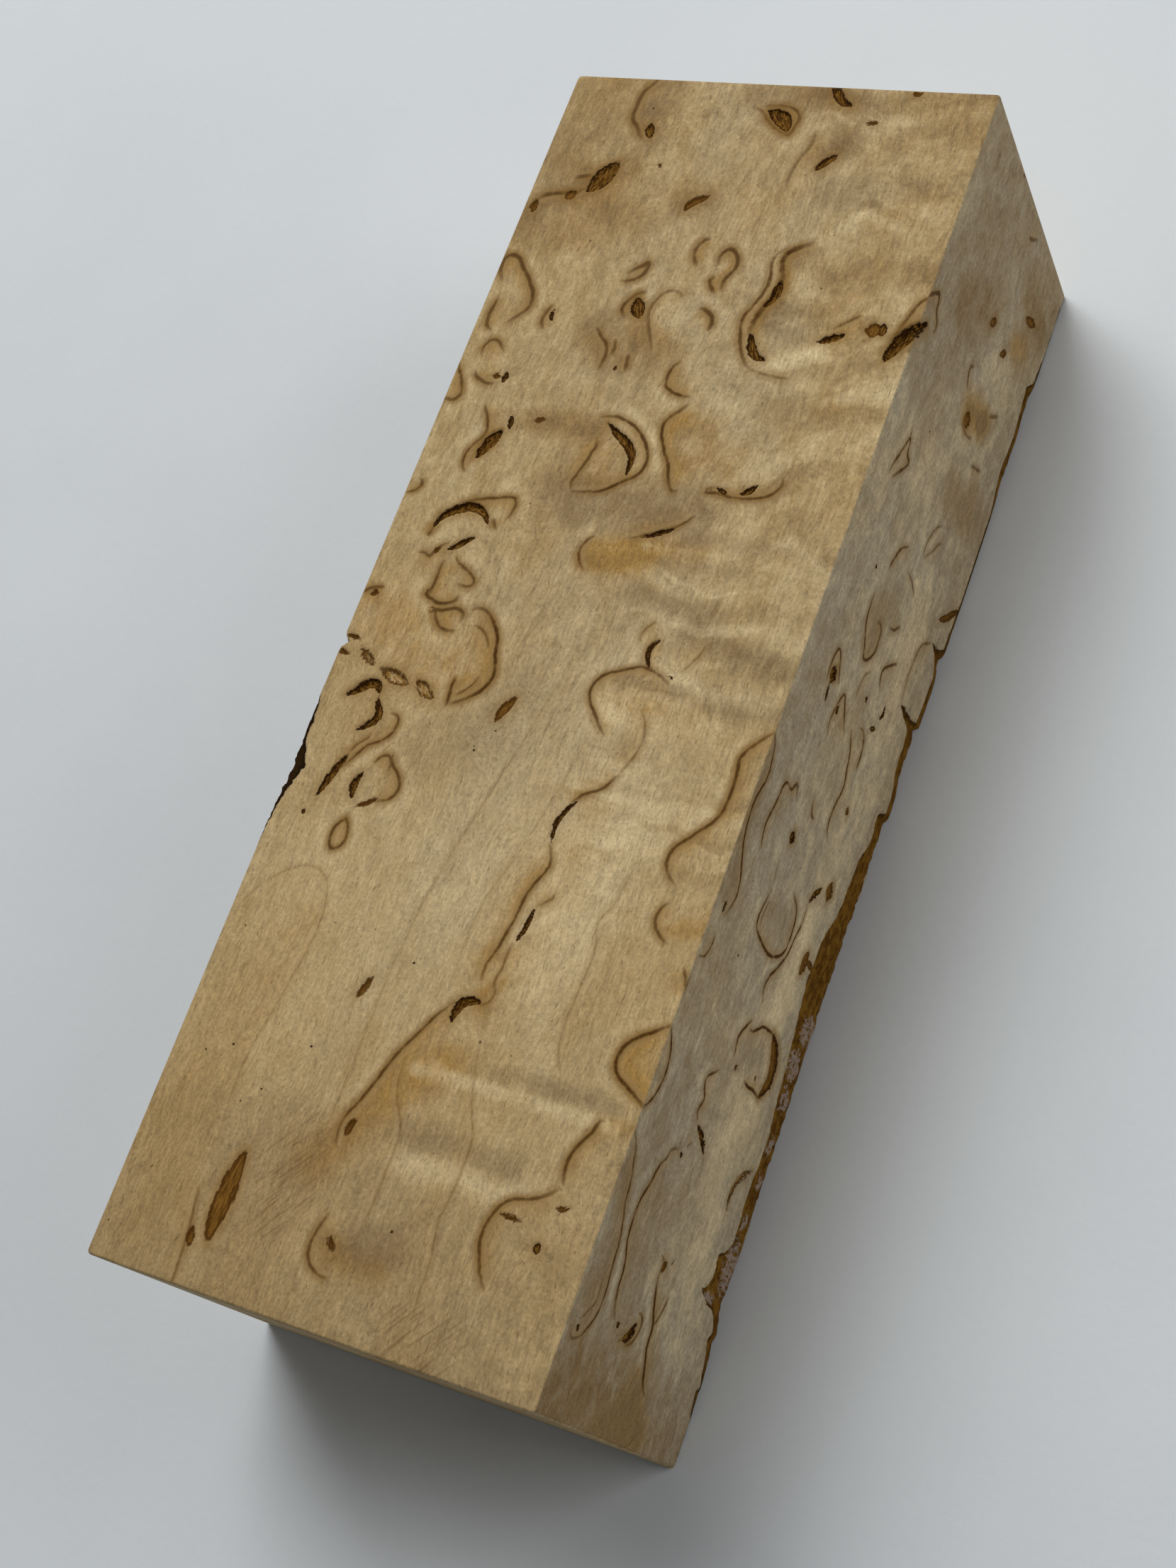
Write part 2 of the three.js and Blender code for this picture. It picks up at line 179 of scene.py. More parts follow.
        (40.6, 7.1), (40.2, 7.7), (39.6, 8.3)]),
    (0.34, 0.85, [(34.9, 6.7), (35.6, 7.3), (36.4, 7.2), (37.2, 6.7), (37.7, 6.1), (37.8, 5.3)]),
    (0.3, 0.75, [(29, 7.3), (30.5, 7.1), (31.8, 7.5), (32.5, 8.3), (33.5, 9.2)]),
    (0.3, 0.7, [(30.6, 6.6), (31.5, 6.5), (32.5, 6.7)]),
    (0.34, 0.7, [(29.1, 4.5), (30, 4.6), (31, 4.8)]),
    (0.3, 0.5, [(31.4, 2.5), (33, 3.2), (34.5, 4), (36, 4.4), (37.4, 4), (38.2, 3.2), (38.2, 2.2),
        (37.6, 1.3)]),
    (0.4, 0.8, [(41.2, 1.3), (42, 1.9), (42.9, 2.1), (43.8, 1.8), (44.5, 1)]),
    (0.36, 0.8, [(34.2, -2.3), (35, -2.5), (35.9, -2.2), (36.4, -1.5), (36.8, -0.6)]),
    (0.34, 0.75, [(38.3, -1.7), (39, -1), (39.7, -0.6), (40.3, -0.9)]),
    (0.36, 0.8, [(38.7, -2.1), (39.8, -2), (40.5, -2.3), (41.3, -2.7), (42.2, -2.7), (43, -2.2),
        (43.4, -1.5), (43, -0.9), (42.3, -0.7), (41.5, -0.9)]),
    (0.34, 0.8, [(59.7, 1.8), (59.2, 0.7), (58.4, 0), (57.6, -0.9), (57, -2), (56.6, -2.9), (57.5, -3.2),
        (58.5, -3.4), (59.3, -3), (59.8, -2), (59.9, -0.8), (59.8, 0.7)]),
    (0.34, 0.45, [(50.3, -5), (51, -4.7), (52.5, -4.7), (54, -5), (55.5, -5.6), (57.5, -5.6)]),
    (0.3, 0.85, [(30.5, -8.8), (31, -7.6), (31.8, -6.9), (33, -6.2), (34.3, -5.7), (35.5, -5.4),
        (36.6, -5.5), (37.6, -6), (38.8, -6.4), (40, -6.6), (41, -6.5), (42, -6.2), (42.8, -6.2),
        (43.5, -6.6), (44.1, -7.2)]),
    (0.5, 1, [(34.2, -6.6), (35.4, -6.5), (36.5, -6.7), (37.6, -7.1), (38.6, -7.6), (39.5, -7.8),
        (40.5, -7.8), (41.5, -7.5), (42.5, -7.2), (43.4, -7.4), (44, -8.1), (44.5, -9), (44.9, -9.9)]),
    (0.26, 0.45, [(30.6, -8.6), (30.3, -10), (30.2, -12)]),
    (0.24, 0.6, [(35.8, -14.5), (36.8, -15.8), (37.6, -16.9)]),
    (0.3, 0.75, [(35.2, -20.3), (36.5, -20.8), (38, -21.3), (39.3, -21.8), (40.3, -22.8)]),
    (0.3, 0.8, [(2.4, 22.5), (3, 21.8), (3.3, 20.9), (3.4, 20.3)]),
    (0.24, 0.5, [(-63, 13.1), (-60, 13.3), (-58, 13.5), (-56, 13.9), (-53.8, 14.3)]),
    (0.16, 0.2, [(-50, 14.3), (-46, 14.7), (-42, 14.7), (-36, 13.7), (-30, 12.9), (-26.2, 13.5),
        (-24.7, 14.9), (-24.6, 16.8), (-25.9, 19), (-28.2, 21), (-31, 22.2)]),
    (0.16, 0.17, [(-47, 4.4), (-38, 4.4), (-30, 4.2), (-22, 3.2), (-14, 1.4), (-6, -0.4), (1, -1.6)]),
    (0.14, 0.15, [(-30.6, -1.6), (-24, -1.9), (-19, -3.4), (-12, -5), (-6.6, -5.8)]),
    (0.22, 0.5, [(-32.8, -5), (-32.4, -5.8), (-31.5, -6.1), (-30.8, -5.9)]),
    (0.22, 0.55, [(-23.3, -6.9), (-22.8, -7.5), (-22.2, -8.1), (-21.8, -8.1)]),
    (0.18, 0.24, [(-54.5, -1.5), (-53.5, -2.1), (-51, -2.4), (-48, -2.4), (-45, -2.4), (-43.5, -1.7),
        (-42, -0.8), (-40, -0.3), (-38, -0.3)]),
    (0.18, 0.24, [(-60, -9.7), (-57, -9.4), (-54, -9.3), (-51, -8.7), (-49, -8.9), (-46, -9.1),
        (-43.5, -8.9), (-41.5, -8), (-39.5, -7.3), (-37, -6.7), (-36, -6.2)]),
    (0.16, 0.22, [(-38.5, -15), (-36.5, -14.5), (-35, -13.7), (-33, -13.3), (-30, -13.4), (-26, -13.6),
        (-24.5, -13.2), (-23, -13), (-21.5, -13.8), (-19.5, -14.1), (-16, -14.6)]),
]
# Small closed rings, the outlines of islands in the figure.
TOP_RINGS = [
    (0.25, 0.85, [(-22.5, 14.8), (-21.9, 15.3), (-21, 15.4), (-20.2, 15.2), (-19.4, 14.5), (-20, 14.1),
        (-20.8, 13.8), (-21.7, 13.8), (-22.3, 14.3)]),
]

# Flecks of bark grown into the top face: kind, greatest width, depth of the pocket, points.
TOP_FLECKS = [
    ("brown", 1.9, 0.12, [(-58.3, 11.4), (-56.4, 11.5), (-53.6, 11.4), (-51.4, 11.3), (-50.1, 11.1)]),
    ("dark", 0.9, 0.4, [(-34.8, -3.1), (-33.9, -3.1), (-32.9, -3.5), (-32.5, -4.4), (-32.5, -5.2)]),
    ("brown", 0.7, 0.2, [(-35, 6.6), (-34, 6.2), (-32.6, 5.7)]),
    ("dark", 0.5, 0.3, [(-26.7, -6.2), (-25.2, -6.6), (-23.4, -6.8)]),
    ("dark", 0.5, 0.3, [(-17.5, -6.1), (-16.4, -5.8), (-15.2, -5.9), (-14.1, -6.4), (-13.2, -7)]),
    ("dark", 0.8, 0.35, [(-17.5, 14.8), (-16.7, 15.1), (-15.7, 15.1), (-14.8, 14.7)]),
    ("dark", 0.8, 0.35, [(-18, 18.5), (-16.2, 18), (-14.7, 17.5), (-13.4, 16.9)]),
    ("dark", 0.8, 0.4, [(-11, 17.2), (-10.3, 16.2), (-9.3, 15.5), (-8.2, 16), (-7.4, 16.4)]),
    ("dark", 1, 0.45, [(-7.2, 16.3), (-6.3, 16.9), (-6.4, 17.9), (-7.2, 18.8), (-7.9, 19.8)]),
    ("pale", 1.3, 0.25, [(-5.7, 13.8), (-5.4, 14.9), (-5.1, 16), (-4.6, 17.2)]),
    ("pale", 1.2, 0.25, [(-6.6, 10.7), (-6.2, 11.6), (-5.6, 12.4), (-5.1, 13.1)]),
    ("dark", 0.7, 0.35, [(8.2, 15.4), (8.8, 14.5), (9.9, 13.1)]),
    ("dark", 1, 0.45, [(10.2, 17.9), (11.6, 17.3), (12.7, 15.6), (12.9, 14.2), (12.3, 13), (11.3, 12.3)]),
    ("dark", 1.3, 0.45, [(18.1, 16.4), (19.3, 15.9), (20.4, 15.3), (21.4, 14.8)]),
    ("dark", 0.6, 0.3, [(21.5, 14.1), (22.3, 14.2), (23, 14.4)]),
    ("dark", 0.9, 0.45, [(18.4, 0.3), (20.2, 0.4), (21.4, 1.2), (22.4, 2.6), (23.5, 4.1)]),
    ("dark", 0.45, 0.3, [(17.9, -10.2), (18.1, -9.7), (18.4, -9)]),
    ("dark", 0.6, 0.35, [(18, -11.4), (18.5, -12.3), (19.2, -12.8)]),
    ("dark", 0.5, 0.35, [(12.4, -3.6), (12.9, -4.8), (13.8, -6.6)]),
    ("dark", 0.45, 0.25, [(0, -9), (0.9, -8.6), (1.8, -8.4), (2.9, -9.1)]),
    ("dark", 0.9, 0.4, [(31.9, -9.1), (32.2, -8), (33.2, -7.2), (34.6, -6.7)]),
    ("dark", 0.9, 0.4, [(37.4, -7), (38.9, -7.7), (40.6, -7.7)]),
    ("dark", 0.8, 0.4, [(34.3, -13.4), (34.9, -14.8), (35.4, -15.8)]),
    ("dark", 1.6, 0.7, [(33.1, -20.3), (34.6, -20.9), (36.1, -21.8), (37.6, -23.2)]),
    ("dark", 1.4, 0.3, [(35, 5.1), (36, 5.7), (37.2, 6.2)]),
    ("dark", 2.1, 0.3, [(48.7, 16.2), (50, 15.3), (52.3, 14)]),
    ("dark", 1.6, 0.3, [(57, -2.6), (58.3, -1.8), (59.4, 0.1)]),
    ("dark", 1, 0.35, [(60.3, -8.3), (61.1, -6.8), (63.4, -5.4)]),
    ("brown", 1, 0.15, [(-7.6, 3.7), (-6.4, 3.3), (-4.9, 2.5)]),
    ("dark", 0.7, 0.3, [(-51, -17.9), (-50, -17.8)]),
    ("dark", 0.45, 0.2, [(-19.9, 19.2), (-19.4, 19.1)]),
    ("brown", 0.5, 0.2, [(-18.1, 14.1), (-17.7, 13.3), (-16.9, 12.2)]),
    ("brown", 0.45, 0.1, [(-48.7, -13.6), (-48.8, -15.8)]),
    ("brown", 0.45, 0.1, [(-47.1, -18.2), (-46.8, -19.4)]),
    ("brown", 0.7, 0.15, [(-46.5, 2.5), (-45.5, 2.4), (-44.8, 2)]),
    ("brown", 0.6, 0.15, [(-55.7, -0.6), (-55.2, 0.1), (-54.5, 0.3)]),
    ("dark", 0.25, 0.2, [(-0.4, -11), (-0.5, -11.7)]),
    ("brown", 0.5, 0.15, [(7.7, 16.7), (8.3, 16.2)]),
    ("dark", 0.6, 0.2, [(26.4, 16.9), (27, 16.7), (27.6, 16.8)]),
    ("brown", 0.7, 0.15, [(27.1, 18.2), (27, 17.3)]),
    ("dark", 0.45, 0.2, [(33.7, 14.2), (34.3, 14.6), (35, 14.4)]),
    ("brown", 0.8, 0.2, [(45.8, 21.2), (46.6, 21.4), (47.4, 21.3)]),
    ("brown", 1.2, 0.2, [(47.7, 18.3), (48.6, 17.4)]),
    ("dark", 1, 0.25, [(55.4, 11.6), (56.2, 12), (57.1, 12.1)]),
    ("brown", 0.9, 0.2, [(47.2, 4.9), (48.2, 4.4), (49.2, 2.8)]),
    ("dark", 0.9, 0.25, [(52.8, -6.9), (53.7, -7.6), (54.7, -8.7)]),
    ("brown", 1.5, 0.2, [(35.4, -18.4), (36.9, -18.3)]),
    ("dark", 0.9, 0.25, [(35.6, -19.3), (36.9, -19.1)]),
    ("brown", 0.5, 0.1, [(58.5, -10.3), (58.5, -11.6)]),
    ("brown", 0.8, 0.2, [(61.9, -14), (62.5, -14.9)]),
    ("brown", 0.6, 0.1, [(22.7, 11.8), (23.1, 10.7)]),
    ("dark", 0.3, 0.15, [(29.1, 5.7), (29.6, 5.5)]),
    ("brown", 0.5, 0.1, [(52, 9.5), (52.4, 9.2)]),
    ("brown", 0.6, 0.2, [(2.5, 21.6), (2.8, 20.7)]),
    ("brown", 0.8, 0.2, [(-59.2, 13), (-57.4, 13.3)]),
    ("brown", 0.5, 0.3, [(-3.7, 22.9), (-3.7, 21.9), (-3.9, 21)]),
    ("brown", 0.5, 0.3, [(-1.9, 22.3), (-2.2, 20.6)]),
    ("pale", 0.8, 0.3, [(-3.1, 20), (-3.6, 19.4), (-4.5, 18.1)]),
]

# Pin-sized dark specks on the top face: points.
TOP_SPECKS = [
    (-47.6, 15.4), (-46.2, 13.6), (-44.7, 12.1), (-44.7, 10.8), (-42.8, 19), (-41.7, 16.5), (-53.8, 19.6),
    (-59.2, 21.6), (-45.7, -6), (-35.8, -6.5), (-36.1, -9.7), (-32.5, -12.1), (-40, 8.9), (-52.8, -5),
    (-31.2, 20.2), (-30.6, 2.4), (-28.7, 7.3), (-29, 11.4), (-27.8, 2.6), (-10.6, 4.6), (-10.3, 4.7),
    (-8.4, 3.3), (14.1, 8.8), (8.4, 7.2), (11.5, 7.2), (4.6, 14), (40, -12), (43, 13.6), (58.9, 12.6),
]

# Veins on the front face: width, strength, and points along the block and up from the table.
FRONT_VEINS = [
    (0.26, 0.8, [(-39.6, 32.3), (-40.7, 31), (-41.7, 30.4), (-43.5, 29.5), (-45, 29.2), (-46.2, 28.5),
        (-48, 27.7), (-50, 27.4), (-51.7, 27), (-53.5, 27.1), (-55, 28), (-56, 29.2), (-56.2, 30.6),
        (-55.2, 30.7)]),
    (0.2, 0.45, [(-54.7, 30), (-53.7, 28.8), (-52.7, 28.1), (-51.2, 28.4)]),
    (0.26, 0.9, [(-38.2, 32.3), (-37, 31), (-35.7, 30.3), (-34.5, 30.1), (-33, 30.5), (-32, 31.2),
        (-30.9, 32.3)]),
    (0.28, 0.9, [(-53.5, 23.4), (-52.7, 24.2), (-51.2, 24.9), (-50, 25), (-48.7, 25.5), (-47.5, 26.3),
        (-46, 26.6), (-44.5, 26.6), (-43.2, 26.1), (-42.6, 25.7), (-41.5, 25.4), (-40.6, 24.9),
        (-40, 24.2), (-39.2, 23.9), (-38.9, 23), (-38.7, 22.1)]),
    (0.2, 0.45, [(-38.2, 21.1), (-37.5, 20.2)]),
    (0.26, 0.8, [(-54.9, 20), (-54.5, 18.7), (-53.5, 17.9), (-52.5, 17.9), (-52, 18.6), (-52.1, 19.2)]),
    (0.2, 0.5, [(-54.9, 21.5), (-54.5, 20.7)]),
    (0.34, 0.95, [(-57.9, 12.1), (-57, 13.4), (-55.2, 14.5), (-54.2, 15.2), (-52.5, 15.4), (-51, 16.5),
        (-49.5, 17.4), (-48, 18)]),
    (0.24, 0.75, [(-52.5, 15.4), (-51, 14.5), (-49.7, 14.2)]),
    (0.24, 0.65, [(-47.5, 17.2), (-46.9, 18.4)]),
    (0.22, 0.6, [(-47.2, 16), (-46.7, 15.5)]),
    (0.24, 0.8, [(-35.9, 20.6), (-35, 21.5), (-34.4, 21), (-33.8, 20.9), (-33.1, 21.7), (-32.5, 22),
        (-31.9, 21.4), (-31.4, 20.5), (-30.9, 19.8)]),
    (0.24, 0.75, [(-24.8, 31.6), (-24.4, 30.5), (-23.2, 29.9), (-22.2, 30.1)]),
    (0.22, 0.7, [(-28.4, 32.2), (-27.4, 31.9), (-26.3, 32.1)]),
    (0.26, 0.9, [(-20.6, 29.7), (-19.7, 29), (-18.5, 28.5), (-17.2, 28.7), (-16, 29.5), (-15, 30.3),
        (-13.7, 31), (-12.2, 31.4), (-10.7, 31.4), (-9.5, 31), (-8.5, 30.6), (-7.5, 30.6), (-6.5, 30.9),
        (-5.5, 31.3), (-4.4, 32.4)]),
    (0.26, 0.85, [(-13.4, 26.7), (-12.5, 27.4), (-11.2, 27.7), (-9.7, 27.3), (-8.5, 27), (-7.2, 26.8),
        (-6.7, 26.2), (-6.9, 25.4), (-6.7, 24.7), (-6, 24.4), (-6.1, 23.9), (-7.1, 23.4)]),
    (0.28, 0.9, [(-14.9, 21.9), (-15.7, 22.1), (-17, 22.5), (-18, 22.7), (-18.7, 22.4), (-19.1, 21.5),
        (-19.4, 20.2), (-19.6, 19), (-19.7, 18), (-19.5, 16.7), (-19, 15.5), (-18.2, 14.6), (-17, 14.4),
        (-15.5, 14.5), (-14.5, 15), (-14, 15.7), (-13.7, 16.7), (-13.4, 17.2)]),
    (0.2, 0.5, [(-18.9, 21), (-18.2, 21.9), (-17, 21.8), (-15.9, 21.5)]),
    (0.18, 0.4, [(-14.6, 22), (-12.4, 22.5)]),
    (0.24, 0.7, [(-6.7, 18), (-6.8, 18.7), (-6.4, 19.2), (-5.4, 19.6)]),
    (0.26, 0.85, [(-29.3, 17.6), (-28.5, 18), (-27.6, 18.3), (-26.6, 17.7), (-25.7, 16.9),
        (-25.2, 16.4)]),
    (0.26, 0.85, [(-26.2, 16.6), (-26.1, 15.5), (-25.5, 14.5), (-25, 13.5), (-24.9, 12), (-24.9, 10.7),
        (-25.3, 9.2)]),
    (0.26, 0.9, [(-30.1, 14), (-30.3, 12.5), (-30.2, 11), (-30.4, 9.7), (-30.1, 8.6)]),
    (0.26, 0.85, [(-23.6, 15.6), (-22.2, 16.4), (-21, 16), (-20.2, 15.2), (-19.2, 14.4), (-18, 13.7),
        (-16.5, 13.4), (-15, 12.9), (-13.2, 13)]),
    (0.26, 0.85, [(-7, 13.6), (-6.2, 14.4), (-5, 14.7), (-3.7, 14.5), (-2.5, 14.1), (-1.5, 14),
        (-0.5, 14.5), (1.2, 15.2), (2.1, 16), (3, 16.7)]),
    (0.26, 0.8, [(3.4, 25.6), (5, 25.8), (6.2, 25.6), (6.9, 25.1), (6.5, 24.4), (5.5, 23.6),
        (4.4, 22.8)]),
    (0.26, 0.8, [(0, 21.4), (1, 22), (2.2, 21.8), (3.5, 21.4), (4.5, 20.8), (4, 20.1), (3, 19.2),
        (1.7, 17.9)]),
    (0.24, 0.5, [(5.4, 18.1), (6.7, 18.2), (8, 17.7), (8.8, 16.6)]),
    (0.28, 0.8, [(14.6, 21.8), (13, 21.8), (11.7, 21.6), (10.7, 20.9), (9.7, 20), (8.8, 19.4),
        (9.1, 18.5), (10.2, 17.5), (11.5, 17.3), (12.7, 17.6), (13, 18.5), (12.5, 19.1)]),
    (0.28, 0.8, [(17.5, 20.6), (18.7, 20.2), (20, 19.6), (20.9, 18.7), (21.5, 17.6)]),
    (0.26, 0.8, [(3.9, 14.9), (4, 13.7), (3.4, 13), (2, 12.5), (0.4, 12.6)]),
    (0.28, 0.8, [(8.5, 13.2), (9.2, 13.9), (10.2, 14.2), (10.9, 13.5), (11.6, 12.5), (12.5, 11.1)]),
    (0.26, 0.7, [(13.9, 15.8), (14.2, 14.7), (15.2, 13.6)]),
    (0.24, 0.5, [(19.7, 16.1), (19.6, 14.5), (18.9, 12.8)]),
    (0.3, 0.8, [(23.4, 27.8), (24.7, 27.4), (26.2, 26.7), (27.5, 26.2), (28.5, 25.6), (27, 25.1),
        (26.7, 24.1), (25, 25.5), (23.5, 26.9)]),
    (0.26, 0.5, [(22.4, 13.6), (23.7, 14), (25.5, 13.4), (26.7, 12.5), (27.3, 11.4)]),
    (0.26, 0.5, [(22.7, 13.5), (24, 12.2), (25.5, 11.1), (26.1, 10.1)]),
    (0.26, 0.55, [(10.5, 7.4), (13, 7.7), (15, 7.5), (16.5, 7), (17.3, 6), (18.1, 4.4)]),
    (0.36, 0.8, [(39.4, 32.4), (40.6, 31), (41.2, 30.1), (39.7, 29.5), (39.2, 28.7), (38.4, 28.4),
        (37.8, 28.8)]),
    (0.3, 0.55, [(36.6, 15.5), (36.5, 13.2), (37.1, 11.9)]),
    (0.34, 0.6, [(39.4, 16.9), (41.2, 17.9), (42.1, 16.9)]),
    (0.34, 0.6, [(35.2, 9.8), (36.3, 6.9)]),
    (0.36, 0.6, [(59.1, 14.6), (59.6, 13.5), (60.6, 12.1)]),
    (0.36, 0.6, [(61.7, 21.1), (62.9, 19.2)]),
    (0.36, 0.55, [(41.2, 9.5), (42.6, 7.1)]),
    (0.2, 0.4, [(-62.6, 12.8), (-61.4, 11.4)]),
]

FRONT_FLECKS = [
    ("dark", 1, 0.4, [(-54.6, 20.6), (-54, 19.4), (-52.8, 18.7)]),
    ("dark", 0.6, 0.2, [(-53.9, 22.7), (-53.5, 22.2)]),
    ("dark", 0.6, 0.2, [(-55.6, 29.9), (-55.1, 29.6)]),
    ("dark", 0.5, 0.2, [(-39.1, 21.8), (-39, 21.3)]),
    ("brown", 0.9, 0.15, [(-48.2, 17.6), (-47.2, 16.9)]),
    ("pale", 0.8, 0.3, [(-40.5, 7.9), (-39, 8.3), (-37.4, 7.4), (-36, 5.1)]),
    ("dark", 0.7, 0.3, [(-37.8, 16.9), (-36.8, 18.4), (-36, 20.4)]),
    ("mixed", 1.8, 0.25, [(-30.3, 9.3), (-28.2, 8.1), (-26.4, 8.8), (-24.8, 10.8)]),
    ("brown", 0.6, 0.15, [(-30, 16.6), (-29.5, 16.4)]),
    ("brown", 0.6, 0.15, [(-29.4, 11.6), (-29.1, 11.4)]),
    ("dark", 0.6, 0.25, [(-20.4, 30), (-19.3, 29.9)]),
    ("dark", 1.1, 0.35, [(-10.5, 21.3), (-9.3, 21.2)]),
    ("dark", 0.7, 0.3, [(-12.9, 12.9), (-12, 12.3), (-10.6, 10.9)]),
    ("brown", 1.7, 0.3, [(-11.2, 8.9), (-9.3, 8.9)]),
    ("brown", 1.5, 0.1, [(-18.6, 9.6), (-17.6, 9.3), (-16.2, 9.1)]),
    ("brown", 0.7, 0.1, [(-17.2, 8.9), (-17.1, 8.2), (-17.3, 6.6)]),
    ("dark", 1.5, 0.4, [(3.8, 24.6), (5.4, 24.4)]),
    ("dark", 0.5, 0.2, [(2, 24.4), (3.7, 24.6)]),
    ("dark", 0.7, 0.25, [(2.3, 21.3), (3.1, 20.9)]),
    ("dark", 0.7, 0.2, [(6.3, 15.7), (6.7, 15.3)]),
    ("dark", 0.5, 0.2, [(4.9, 12.6), (5.5, 11.1)]),
    ("dark", 0.5, 0.2, [(6.5, 11.1), (7.4, 10.5), (8.2, 10.8)]),
    ("brown", 0.8, 0.1, [(-3.4, 11.3), (-2.6, 11.2)]),
    ("dark", 0.5, 0.1, [(16.1, 23.6), (16.3, 23.2)]),
    ("brown", 0.8, 0.2, [(20.6, 4.8), (21.7, 3), (23, 1.5), (24, 0.3)]),
    ("dark", 1.1, 0.6, [(34.6, 33.2), (36, 31.7), (37.8, 30.3)]),
    ("brown", 1.6, 0.15, [(37.2, 15.3), (38, 13.5)]),
    ("brown", 0.9, 0.1, [(47.2, 16.8), (48.5, 15.3)]),
    ("brown", 0.8, 0.1, [(46.9, 11.9), (48.1, 10.3)]),
    ("brown", 1, 0.1, [(53.6, 8.5), (54.8, 5.3)]),
]
FRONT_SPECKS = [(-16.0, 26.2), (-3.9, 27.2), (-22.0, 24.0), (31.5, 22.0), (-44.0, 14.0), (12.5, 25.4)]

